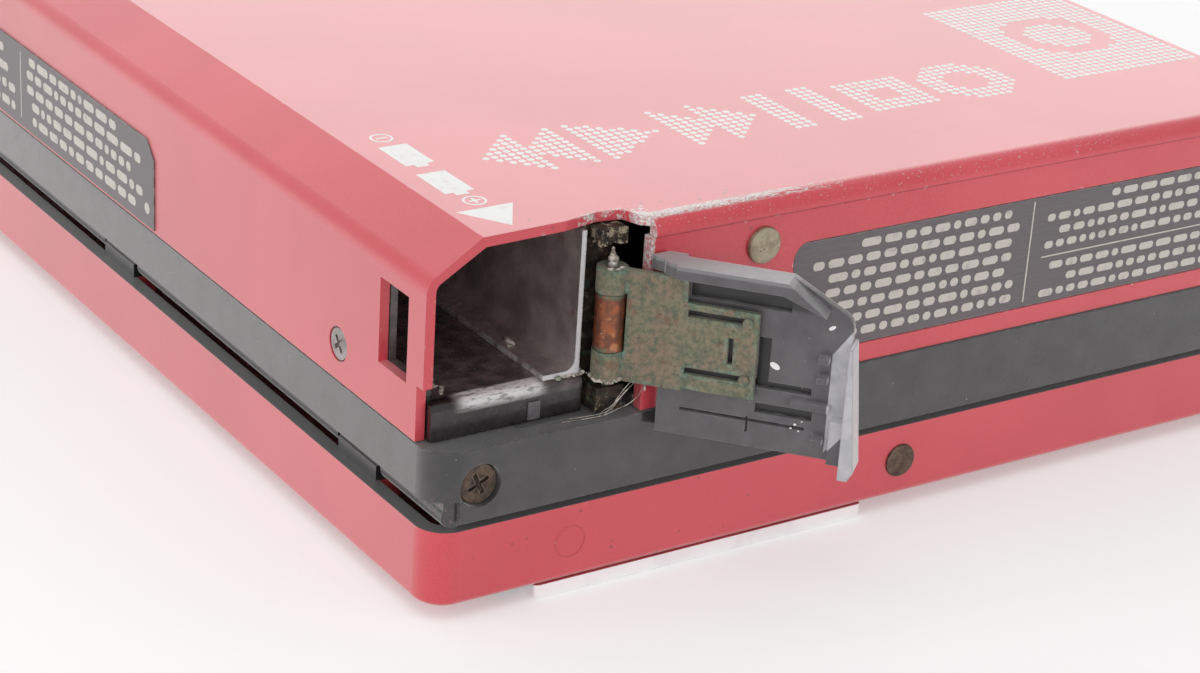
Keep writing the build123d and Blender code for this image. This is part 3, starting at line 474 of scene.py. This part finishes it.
def liner_sheet():
    """Grey worn sheet with scratches, rust, a painted highlight along its crease and a bright cut edge at its
    front.
    """
    look = Look("black_sheet", linear(52, 46, 48), 0.24, 0.2, Coat_Weight=0.5, Coat_Roughness=0.12)
    x, y = look.axis("X"), look.axis("Y")
    tone = look.mix(look.patches(0.5, 4.0, 0.3, 0.7), linear(122, 112, 112), linear(156, 146, 144))
    scratch = look.patches(1.4, 3.0, 0.62, 0.70, 0.0, 0.5, stretch=(4.0, 0.5, 3.0))
    tone = look.mix(scratch, tone, linear(140, 132, 132))
    rust = look.patches(0.45, 4.0, 0.60, 0.72, 0.0, 0.7, rough=0.7)
    tone = look.mix(rust, tone, linear(120, 70, 50))
    cut = look.all_of(look.ramp(y, 2.60, 2.52), look.patches(1.2, 3.0, 0.2, 0.4, 0.5, 1.0))
    # Painted highlight along the crease of the sheet, brighter towards the front
    crease = look.all_of(look.window(x, 10.5, 10.68, 0.08), look.patches(0.8, 3.0, 0.36, 0.5),
                         look.ramp(y, 20.0, 6.0, 0.1, 0.8))
    look.set("Base Color", look.mix(look.any_of(cut, crease), tone, linear(206, 202, 204)))
    look.vary_roughness(0.16, 0.36, 1.6, 3.0)
    look.bump(look.noise(1.1, 4.0), 0.02, soften=0.1)
    return look.material


def corroded_brass():
    """Dull olive metal under brown stains and teal corrosion that is thickest along the edges."""
    look = Look("corroded_brass", linear(112, 106, 84), 0.62, 0.25, Sheen_Weight=0.2)
    stain = look.noise(0.32, 5.0, rough=0.65)
    fine = look.noise(2.2, 5.0, rough=0.7)
    tone = look.mix(look.ramp(stain, 0.36, 0.62), linear(134, 130, 104), linear(144, 124, 104))
    tone = look.mix(look.ramp(fine, 0.38, 0.66, 0.0, 0.75), tone, linear(98, 106, 90))
    rusty = look.patches(0.7, 4.0, 0.56, 0.66, 0.0, 0.55, rough=0.7)
    tone = look.mix(rusty, tone, linear(124, 84, 66))
    patina = look.patches(0.55, 5.0, 0.50, 0.62, 0.0, 0.7, rough=0.7)
    at_edge = look.all_of(look.edges(0.7, 0.004, 0.10), look.patches(0.9, 4.0, 0.38, 0.56))
    teal = look.mix(look.patches(3.2, 3.0, 0.4, 0.6), linear(72, 104, 92), linear(124, 160, 146))
    tone = look.mix(look.math("MULTIPLY", patina, 0.55), tone, linear(84, 104, 88))
    tone = look.mix(look.math("MULTIPLY", at_edge, 0.9), tone, teal)
    pit = look.ramp(look.cells(1.7), 0.20, 0.08, 0.0, 0.6)
    look.set("Base Color", look.mix(pit, tone, linear(74, 62, 48)))
    look.set("Roughness", look.ramp(fine, 0.3, 0.7, 0.45, 0.8))
    crust = look.math("ADD", look.math("MULTIPLY", fine, 0.6), look.math("MULTIPLY", at_edge, 1.2))
    look.bump(crust, 0.05, soften=0.15)
    return look.material


def stained_metal():
    """Nearly black metal with brown and chalky corrosion."""
    look = Look("stained_metal", linear(70, 60, 50), 0.7, 0.3)
    tone = look.mix(look.patches(0.8, 5.0, 0.4, 0.6, rough=0.7), linear(34, 28, 26), linear(72, 60, 48))
    chalk = look.patches(1.6, 5.0, 0.60, 0.68, 0.0, 0.8, rough=0.75)
    high_up = look.all_of(look.ramp(look.axis("Z"), 26.9, 27.1), look.patches(1.3, 4.0, 0.52, 0.58, rough=0.8))
    tone = look.mix(look.any_of(chalk, high_up), tone, linear(170, 156, 136))
    green = look.patches(1.1, 3.0, 0.58, 0.68, 0.0, 0.6)
    look.set("Base Color", look.mix(green, tone, linear(76, 96, 80)))
    look.vary_roughness(0.5, 0.85, 2.4, 3.0)
    look.bump(look.noise(1.8, 5.0, rough=0.7), 0.08, soften=0.2)
    return look.material


def copper_sleeve():
    """Bare worn copper with brown patches, painted highlights, pale flecks and green where it touches its
    neighbours.
    """
    look = Look("copper", linear(178, 98, 66), 0.36, 0.55, Coat_Weight=0.2)
    z = look.axis("Z")
    tone = look.mix(look.patches(0.8, 5.0, 0.36, 0.62, rough=0.7), linear(164, 92, 58), linear(108, 66, 50))
    ends = look.any_of(look.ramp(z, 19.7, 19.2), look.ramp(z, 23.3, 23.7))
    green = look.all_of(ends, look.patches(1.6, 4.0, 0.42, 0.56, 0.0, 0.8))
    tone = look.mix(green, tone, linear(92, 122, 104))
    # Painted highlights in patches
    copper_highlight = look.patches(1.1, 2.0, 0.62, 0.72, 0.0, 0.6)
    tone = look.mix(copper_highlight, tone, linear(206, 138, 96))
    fleck = look.all_of(look.ramp(look.cells(2.2), 0.14, 0.08), look.patches(1.2, 2.0, 0.5, 0.6))
    look.set("Base Color", look.mix(fleck, tone, linear(222, 206, 190)))
    look.vary_roughness(0.28, 0.55, 2.0, 3.0)
    look.bump(look.noise(1.5, 4.0), 0.04, soften=0.1)
    return look.material


def aged_metal():
    """Olive-beige oxide over dull metal, with brown pits and a darker rim."""
    look = Look("aged_metal", linear(150, 140, 112), 0.42, 0.5, Coat_Weight=0.15)
    tone = look.mix(look.patches(0.9, 5.0, 0.38, 0.62, rough=0.7), linear(182, 172, 146), linear(150, 136, 112))
    pit = look.ramp(look.cells(1.4), 0.16, 0.06, 0.0, 0.75)
    tone = look.mix(pit, tone, linear(84, 64, 52))
    rim = look.math("MULTIPLY", look.edges(0.25), 0.55)
    look.set("Base Color", look.mix(rim, tone, linear(92, 78, 66)))
    look.vary_roughness(0.3, 0.55, 3.0, 3.0)
    look.bump(look.noise(2.2, 4.0), 0.03, soften=0.1)
    return look.material


def brown_metal():
    """Tarnished brown screws and studs with paler rubbed edges, and painted shade in the recess of the front
    screw.
    """
    look = Look("brown_metal", linear(126, 96, 84), 0.5, 0.35)
    tone = look.mix(look.patches(1.1, 5.0, 0.36, 0.64, rough=0.7), linear(112, 92, 76), linear(70, 56, 48))
    tone = look.mix(look.ramp(look.cells(1.8), 0.22, 0.08, 0.0, 0.6), tone, linear(64, 46, 40))
    # Painted shade in the recess of the front screw
    reach = look.add("ShaderNodeVectorMath", operation="DISTANCE")
    look.join(look.point(), reach.inputs[0])
    reach.inputs[1].default_value = BAND_SCREW
    tone = look.mix(look.ramp(reach.outputs["Value"], 1.0, 0.6, 0.0, 0.85), tone, linear(46, 34, 32))
    rubbed = look.all_of(look.edges(0.2), look.patches(1.5, 3.0, 0.4, 0.6, 0.2, 0.8))
    look.set("Base Color", look.mix(rubbed, tone, linear(176, 156, 140)))
    look.vary_roughness(0.38, 0.62, 2.6, 3.0)
    look.bump(look.noise(2.4, 4.0), 0.03, soften=0.1)
    return look.material


def polished_chrome():
    """Bright plate with faint hazing and fine scratches along its length."""
    look = Look("chrome", linear(232, 230, 232), 0.14, 1.0)
    hazed = look.patches(0.4, 4.0, 0.4, 0.7)
    look.set("Base Color", look.mix(hazed, linear(252, 250, 251), linear(244, 241, 243)))
    look.vary_roughness(0.14, 0.24, 1.2, 4.0, stretch=(3.0, 0.2, 1.0))
    look.bump(look.noise(1.0, 3.0, stretch=(4.0, 0.15, 1.0)), 0.0008, soften=0.1)
    return look.material


def label_sheet():
    """Charcoal anodised plate with a brushed grain and rubbed edges."""
    look = Look("label_black", linear(92, 87, 90), 0.42, 0.3, Sheen_Weight=0.5, Sheen_Roughness=0.4)
    brushed = look.noise(2.0, 3.0, stretch=(0.25, 0.25, 6.0))
    tone = look.mix(look.ramp(brushed, 0.35, 0.65), linear(104, 98, 101), linear(116, 110, 113))
    rubbed = look.all_of(look.edges(0.2), look.patches(1.2, 3.0, 0.42, 0.6, 0.1, 0.8))
    look.set("Base Color", look.mix(rubbed, tone, linear(176, 166, 158)))
    look.set("Roughness", look.ramp(brushed, 0.3, 0.7, 0.34, 0.52))
    look.bump(brushed, 0.003, soften=0.08)
    return look.material


def ink(name, bright, dull):
    """Printed ink, worn thin in places."""
    look = Look(name, bright, 0.45, 0.0, Sheen_Weight=0.3)
    thin = look.patches(1.3, 4.0, 0.52, 0.74, 0.0, 0.55, rough=0.7)
    look.set("Base Color", look.mix(thin, bright, dull))
    look.vary_roughness(0.38, 0.55, 4.0, 2.0)
    return look.material


def crust():
    """Battery leakage: chalky white with grey and green patches."""
    look = Look("crust", linear(206, 198, 188), 0.85, 0.0)
    tone = look.mix(look.patches(1.8, 4.0, 0.42, 0.6, rough=0.7), linear(214, 206, 196), linear(136, 122, 112))
    green = look.patches(1.1, 3.0, 0.56, 0.68, 0.0, 0.7)
    look.set("Base Color", look.mix(green, tone, linear(112, 134, 118)))
    look.bump(look.noise(6.0, 4.0), 0.05)
    return look.material


def clear_acrylic():
    """Clear window with faint rub marks."""
    look = Look("clear", linear(226, 230, 232), 0.05, 0.0, Transmission_Weight=0.95, IOR=1.49)
    rubbed = look.noise(1.0, 4.0, stretch=(2.0, 0.3, 1.0))
    look.set("Roughness", look.ramp(rubbed, 0.45, 0.75, 0.03, 0.22))
    return look.material


def plain_look(name, colour, rough, metal, grain, depth, second=None, **sockets):
    """A two-tone surface with fine relief."""
    look = Look(name, colour, rough, metal, **sockets)
    clouds = look.patches(grain * 0.2, 3.0, 0.35, 0.7)
    darker = second or tuple(c * 0.8 for c in colour)
    look.set("Base Color", look.mix(clouds, colour, darker))
    look.set("Roughness", look.patches(grain, 2.0, 0.2, 0.8, rough * 0.85, min(1.0, rough * 1.2)))
    look.bump(look.noise(grain, 3.0), depth, soften=0.1)
    return look.material


def make_materials():
    return {
        "red_paint": red_paint(),
        "black_gloss": black_gloss(),
        "black_plastic": tray_plastic(),
        "door_plastic": door_plastic(),
        "black_sheet": liner_sheet(),
        "chrome": polished_chrome(),
        "steel": plain_look("steel", linear(176, 172, 170), 0.34, 0.9, 2.6, 0.008, linear(140, 134, 130)),
        "corroded_brass": corroded_brass(),
        "copper": copper_sleeve(),
        "brown_metal": brown_metal(),
        "aged_metal": aged_metal(),
        "label_black": label_sheet(),
        "clear": clear_acrylic(),
        "board": plain_look("board", linear(60, 96, 60), 0.5, 0.0, 3.0, 0.01, linear(48, 80, 52)),
        "rubber": plain_look("rubber", linear(40, 39, 40), 0.8, 0.0, 6.0, 0.01),
        "white_plastic": plain_look("white_plastic", linear(216, 212, 204), 0.4, 0.0, 5.0, 0.006),
        "silver_plastic": plain_look("silver_plastic", linear(188, 186, 186), 0.35, 0.6, 5.0, 0.004),
        "white_ink": ink("white_ink", linear(250, 250, 247), linear(226, 190, 190)),
        "cream_ink": ink("cream_ink", linear(214, 208, 200), linear(150, 144, 142)),
        "crust": crust(),
        "stained_metal": stained_metal(),
    }


# CAD nodes whose finish differs from their slot's own
FINISHES = {"hinge_bracket": "stained_metal", "door_rivets": "corroded_brass"}


def dress_frame(materials):
    """Gives each CAD node its finish, which is its slot's own or the one listed above."""
    for name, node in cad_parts.items():
        for index, slot in enumerate(node.material_slots):
            wanted = FINISHES.get(name, slot.material.name.split(".")[0])
            if wanted in materials:
                node.data.materials[index] = materials[wanted]
            else:
                print("no finish for", name, wanted)


# Pieces that the CAD doesn't carry: prints, corrosion, dust and small marks

INK = 0.012            # height of a print over its surface
INK_SUNK = 0.004       # depth of its underside below it


def on_door(x, y, z):
    """Takes a place on the closed door to where it rests, open."""
    turned = Matrix.Rotation(OPEN_ANGLE, 2) @ (Vector((x - SLIDE_OUT, y)) - HINGE) + HINGE
    return (turned.x, turned.y, z - DROP)


def make_piece(name, body, material, verts, faces, smooth=False):
    """A mesh piece from places on the case in millimetres, which rides on a body."""
    mesh = bpy.data.meshes.new(name)
    mesh.from_pydata([at(*v) for v in verts], [], faces)
    shape = bmesh.new()
    shape.from_mesh(mesh)
    bmesh.ops.recalc_face_normals(shape, faces=shape.faces)
    shape.to_mesh(mesh)
    shape.free()
    mesh.materials.append(materials[material])
    for polygon in mesh.polygons:
        polygon.use_smooth = smooth
    piece = bpy.data.objects.new(name, mesh)
    bpy.context.scene.collection.objects.link(piece)
    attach(piece, body)


class Print:
    """Flat shapes on one face. Each place on it is u and v in millimetres and a height over it."""

    def __init__(self, face, height=INK, sunk=INK_SUNK):
        self.face, self.height, self.sunk = face, height, sunk
        self.verts, self.faces = [], []

    def polygon(self, outline):
        count, first = len(outline), len(self.verts)
        for level in (-self.sunk, self.height):
            self.verts += [self.face(u, v, level) for u, v in outline]
        lower = range(first, first + count)
        self.faces.append(tuple(reversed(lower)))
        self.faces.append(tuple(n + count for n in lower))
        for k in range(count):
            after = (k + 1) % count
            self.faces.append((first + k, first + after, first + count + after, first + count + k))

    def bar(self, u0, u1, v0, v1):
        self.polygon([(u0, v0), (u1, v0), (u1, v1), (u0, v1)])

    def oval(self, u, v, ru, rv, sides=16, turn=0.0):
        ring = []
        for k in range(sides):
            angle = 2 * math.pi * k / sides
            a, b = ru * math.cos(angle), rv * math.sin(angle)
            ring.append((u + a * math.cos(turn) - b * math.sin(turn),
                         v + a * math.sin(turn) + b * math.cos(turn)))
        self.polygon(ring)

    def ring(self, u, v, radius, width, sides=28):
        """A ring as a row of short bars that share their corners."""
        first = len(self.verts)
        for k in range(sides):
            angle = 2 * math.pi * k / sides
            for r in (radius, radius - width):
                for level in (-self.sunk, self.height):
                    self.verts.append(self.face(u + r * math.cos(angle), v + r * math.sin(angle), level))
        for k in range(sides):
            a, b = first + 4 * k, first + 4 * ((k + 1) % sides)
            for i, j in ((0, 1), (1, 3), (3, 2), (2, 0)):
                self.faces.append((a + i, b + i, b + j, a + j))

    def finish(self, name, body, material):
        make_piece(name, body, material, self.verts, self.faces)


# Faces that take shapes. Each turns u, v and a height over the face into a place on the case.

def top_face(u, v, height):
    return (u, v, TOP + height)


def end_face(u, v, height):
    return (u, END_LABEL_DEPTH - height, v)


def side_face(u, v, height):
    return (-SIDE_LABEL_DEPTH - height, u, v)


def lid_end(u, v, height):
    return (u, -height, v)


def lid_right_wall(u, v, height):
    return (WIDTH + height, u, v)


def inside_door(u, v, height):
    return on_door(u, DOOR_PLATE + height, v)


def tray_end(u, v, height):
    return (u, TRAY_FRONT - height, v)


# Columns and rows of a tape symbol's dots, and the number of the middle one
SYMBOL_SPAN = 11
SYMBOL_MIDDLE = 5


def wedge(col, row, first, columns):
    """Whether a dot belongs to a triangle that points along the row and starts at a column."""
    along = (col - first) / (columns - 1)
    return 0 <= along <= 1 and abs(row - SYMBOL_MIDDLE) <= SYMBOL_MIDDLE * (1 - along) + 0.3


def symbol_dots(kind):
    """Columns and rows of the dots of one tape symbol."""
    last = SYMBOL_SPAN - 1
    inside = {
        "rewind": lambda c, r: wedge(last - c, r, 0, 6) or wedge(last - c, r, 5, 6),
        "play": lambda c, r: wedge(c, r, 1, 9),
        "forward": lambda c, r: wedge(c, r, 0, 6) or wedge(c, r, 5, 6),
        "pause": lambda c, r: c in (1, 2, 3, 7, 8, 9),
        "stop": lambda c, r: 1 <= c <= 9 and 1 <= r <= 9 and not (4 <= c <= 6 and 4 <= r <= 6),
        "record": lambda c, r: 2.4 < math.hypot(c - SYMBOL_MIDDLE, r - SYMBOL_MIDDLE) < 5.5,
    }[kind]
    return [(col, row) for col in range(SYMBOL_SPAN) for row in range(SYMBOL_SPAN) if inside(col, row)]


def dotted_symbols():
    """A row of dotted tape symbols along the front of the top."""
    art = Print(top_face)
    left, front, spacing, dot = 13.2, 12.3, 8.75, 0.31
    for n, kind in enumerate(("rewind", "play", "forward", "pause", "stop", "record")):
        for col, row in symbol_dots(kind):
            art.oval(left + spacing * n + DOT_PITCH * col, front + DOT_PITCH * row, dot, dot, 10)
    art.finish("top_symbols", "case", "white_ink")


def dotted_square():
    """A dotted field beside the symbols with a ring left bare in its middle."""
    art = Print(top_face)
    left, front, columns, rows, dot = 69.6, 13.2, 20, 26, 0.33
    ring_inside, ring_outside = 4.2, 6.4
    for col in range(columns):
        for row in range(rows):
            reach = math.hypot(col - (columns - 1) / 2, row - (rows - 1) / 2)
            if not ring_inside < reach < ring_outside:
                art.oval(left + DOT_PITCH * col, front + DOT_PITCH * row, dot, dot, 10)
    art.finish("top_dots", "case", "white_ink")


def battery_marks():
    """The cells' places and poles beside the battery door, and the arrow towards it."""
    art = Print(top_face)
    for u, v in ((8.0, 19.4), (7.8, 13.1)):
        art.bar(u - 1.25, u + 1.25, v - 2.2, v + 2.2)
        art.bar(u - 0.55, u + 0.55, v - 2.75, v - 2.19)
    for u, v, plus in ((8.05, 23.4, False), (7.9, 8.9, True)):
        art.ring(u, v, 0.95, 0.2)
        art.bar(u - 0.5, u + 0.5, v - 0.11, v + 0.11)
        if plus:
            art.bar(u - 0.11, u + 0.11, v - 0.5, v - 0.12)
            art.bar(u - 0.11, u + 0.11, v + 0.12, v + 0.5)
    art.polygon([(5.4, 7.35), (7.9, 3.5), (10.3, 7.4)])
    art.finish("battery_marks", "case", "white_ink")


def dashed_row(art, draw, u0, u1, v, height, longest):
    """A row of round-ended dashes of uneven length, which stand for nothing."""
    u = u0
    bulge, gap = height * 0.28, height * 0.55
    while u < u1 - height:
        length = min(draw.uniform(height, longest), u1 - u)
        art.polygon([(u, v + bulge), (u + bulge, v), (u + length - bulge, v), (u + length, v + bulge),
                     (u + length, v + height - bulge), (u + length - bulge, v + height),
                     (u + bulge, v + height), (u, v + height - bulge)])
        u += length + gap


def end_label_print():
    """Rows of dashes in two fields of the end label, with rules between them."""
    art = Print(end_face)
    draw = random.Random(7)
    left_rows = ((16.5, 36.0), (17.75, 34.4), (19.0, 33.4), (20.25, 33.4),
                 (21.5, 35.0), (22.75, 33.4), (24.0, 38.0))
    for v, u0 in left_rows:
        dashed_row(art, draw, u0, 54.2, v, 0.7, 1.9)
    right_rows = ((16.3, 57.2, 78.0), (17.5, 60.0, 81.6), (18.7, 58.0, 81.6), (20.6, 57.2, 81.6),
                  (21.8, 58.6, 74.0), (23.0, 57.2, 79.0), (24.2, 64.0, 81.6))
    for v, u0, u1 in right_rows:
        dashed_row(art, draw, u0, u1, v, 0.64, 1.8)
    art.bar(55.5, 55.64, 16.2, 25.0)
    art.bar(57.0, 81.8, 19.85, 19.97)
    art.finish("end_label_print", "case", "cream_ink")


def side_label_print():
    """Rows of dashes in two fields of the side label, with a rule and a dot."""
    art = Print(side_face)
    draw = random.Random(11)
    rows = ((15.3, 51.0, 74.5), (16.7, 49.6, 74.5), (18.1, 52.0, 74.5),
            (19.5, 50.0, 74.5), (20.8, 55.0, 74.5), (15.4, 77.4, 104.6),
            (17.0, 77.4, 100.0), (18.6, 79.0, 104.6), (20.3, 80.0, 104.6))
    for v, u0, u1 in rows:
        dashed_row(art, draw, u0, u1, v, 0.8, 2.4)
    art.bar(75.9, 76.05, 15.2, 21.5)
    art.oval(48.7, 16.0, 0.5, 0.5, 16)
    art.finish("side_label_print", "case", "cream_ink")


def key_symbols():
    """Plain tape symbols on the lid's right wall, below the four keys."""
    side, low, centre, high = 0.8, 4.6, 5.4, 6.2
    for name, middle in KEY_MIDDLES.items():
        art = Print(lid_right_wall)
        pair = (middle - 0.85, middle + 0.85)
        if name == "rewind_key":
            for u in pair:
                art.polygon([(u - side, centre), (u + side, high), (u + side, low)])
        elif name == "forward_key":
            for u in pair:
                art.polygon([(u - side, low), (u - side, high), (u + side, centre)])
        elif name == "play_key":
            art.polygon([(middle - side, low - 0.1), (middle - side, high + 0.1), (middle + side, centre)])
        else:
            art.bar(middle - side, middle + side, low, high)
        art.finish(name + "_symbol", "cassette_lid", "white_ink")


def lumps(name, body, material, spots, seed):
    """Rough little lumps, each from its middle and its three half sizes."""
    draw = random.Random(seed)
    verts, faces = [], []
    for x, y, z, rx, ry, rz in spots:
        ball = bmesh.new()
        bmesh.ops.create_icosphere(ball, subdivisions=2, radius=1.0)
        first = len(verts)
        for vert in ball.verts:
            push = draw.uniform(0.72, 1.12)
            verts.append((x + vert.co.x * rx * push, y + vert.co.y * ry * push, z + vert.co.z * rz * push))
        faces += [tuple(first + v.index for v in face.verts) for face in ball.faces]
        ball.free()
    make_piece(name, body, material, verts, faces, smooth=True)


def crust_pieces():
    """Leaked crust round the hinge, and debris, flakes and copper glints in the battery tray."""
    lumps("pin_crust", "case", "crust",
          [(PIN_X, PIN_Y, 25.98, 0.42, 0.42, 0.3), (PIN_X, PIN_Y, 26.35, 0.42, 0.42, 0.32),
           (15.66, 1.68, 26.75, 0.26, 0.26, 0.3), (15.64, 1.66, 27.1, 0.15, 0.15, 0.22)], 3)
    lumps("barrel_crust", "door_leaf", "crust",
          [(15.2, 1.2, 25.75, 0.26, 0.24, 0.1), (16.2, 1.15, 25.75, 0.26, 0.2, 0.1),
           (16.1, 2.35, 25.75, 0.26, 0.2, 0.1), (15.7, 0.95, 25.75, 0.2, 0.16, 0.09)], 4)
    draw = random.Random(5)
    ring, reach = [], 1.2
    for k in range(26):
        angle = math.radians(150 + 9.2 * k)
        size = draw.uniform(0.10, 0.22)
        ring.append((PIN_X + reach * math.cos(angle), PIN_Y + reach * math.sin(angle),
                     16.75 + draw.uniform(0, 0.2), size, size, size * 0.8))
    lumps("knuckle_crust", "door_leaf", "crust", ring, 6)
    heap = []
    for _ in range(34):
        size = draw.uniform(0.08, 0.3)
        heap.append((draw.uniform(11.4, 14.6), draw.uniform(2.35, 3.2), TRAY_FLOOR + size * 0.2,
                     size, size, size * 0.6))
    lumps("tray_debris", "case", "crust", heap, 8)
    flakes = []
    for _ in range(16):
        size = draw.uniform(0.1, 0.24)
        flakes.append((draw.uniform(1.9, 3.4), draw.uniform(3.4, 6.5), TRAY_FLOOR + 0.02,
                       size, size, size * 0.35))
    lumps("tray_flakes", "case", "crust", flakes, 9)
    lumps("panel_fleck", "case", "crust",
          [(18.25, 0.02, 16.7, 0.2, 0.1, 0.5), (18.2, 0.02, 16.0, 0.12, 0.08, 0.3),
           (18.3, 0.02, 17.2, 0.14, 0.08, 0.2)], 12)
    lumps("tray_glints", "case", "copper",
          [(9.6, 22.0, 17.1, 0.9, 1.6, 0.22), (10.3, 30.0, 17.12, 0.5, 1.2, 0.25),
           (6.8, 26.0, 17.1, 0.4, 0.9, 0.2)], 13)
    lumps("tray_chips", "case", "crust",
          [(11.6, 9.0, 17.5, 0.3, 0.9, 0.16), (11.2, 8.2, 17.48, 0.24, 0.3, 0.12)], 14)


def door_marks():
    """Painted white glints and pale specks on the inside of the door."""
    art = Print(inside_door, 0.03)
    # Painted glints
    art.oval(5.6, 21.15, 0.42, 0.24, 16, 0.5)
    art.oval(7.35, 24.4, 0.16, 0.16, 10)
    art.oval(1.6, 24.9, 0.30, 0.14, 12, -0.6)
    for u, v, r in ((3.7, 16.7, 0.12), (4.0, 16.35, 0.09), (3.4, 16.2, 0.08), (3.2, 17.0, 0.07)):
        art.oval(u, v, r, r * 0.7, 8)
    art.finish("door_glints_and_specks", "battery_door", "white_ink")


def curve_piece(name, body, material, paths, radius):
    """Fine fibres through lists of places."""
    data = bpy.data.curves.new(name, "CURVE")
    data.dimensions = "3D"
    data.bevel_depth = radius * MM
    data.bevel_resolution = 1
    for path in paths:
        spline = data.splines.new("NURBS")
        spline.points.add(len(path) - 1)
        spline.order_u = 3
        spline.use_endpoint_u = True
        for point, place in zip(spline.points, path):
            point.co = (*at(*place), 1)
    data.materials.append(materials[material])
    piece = bpy.data.objects.new(name, data)
    bpy.context.scene.collection.objects.link(piece)
    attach(piece, body)


def fibres():
    """Threads of dust that hang from the hinge onto the band."""
    paths = [
        [(18.0, 0.9, 16.6), (17.4, 0.5, 16.7), (16.2, 0.35, 15.8),
         (15.5, 0.5, 14.5), (14.9, 0.9, 14.08), (12.2, 1.3, 14.07)],
        [(17.8, 0.7, 16.4), (17.0, 0.3, 16.2), (15.9, 0.3, 15.2), (15.6, 0.6, 14.3), (15.3, 0.9, 14.05)],
        [(16.8, 0.4, 16.0), (15.6, 0.3, 14.9), (14.8, 0.5, 14.6), (14.9, 0.9, 14.1)],
        [(18.4, 0.1, 16.9), (18.0, 0.1, 15.6), (16.9, 0.05, 14.9),
         (15.7, 0.2, 14.6), (15.0, 0.5, 14.08), (11.6, 1.0, 14.07)],
    ]
    curve_piece("fibres", "case", "crust", paths, 0.03)


def tray_tab():
    """Grey tab on the tray's front."""
    art = Print(tray_end, 0.15, 0.05)
    art.bar(9.2, 10.2, 14.3, 15.7)
    art.finish("tray_tab", "case", "door_plastic")


def rivet_ring():
    """The ring round the painted-over rivet in the lid's end."""
    art = Print(lid_end, INK, 0.03)
    art.ring(RIVET_X, RIVET_Z, 1.38, 0.10)
    art.finish("rivet_ring", "cassette_lid", "red_paint")


materials = make_materials()
dress_frame(materials)
dotted_symbols()
dotted_square()
battery_marks()
end_label_print()
side_label_print()
key_symbols()
crust_pieces()
door_marks()
fibres()
tray_tab()
rivet_ring()
add_stage()
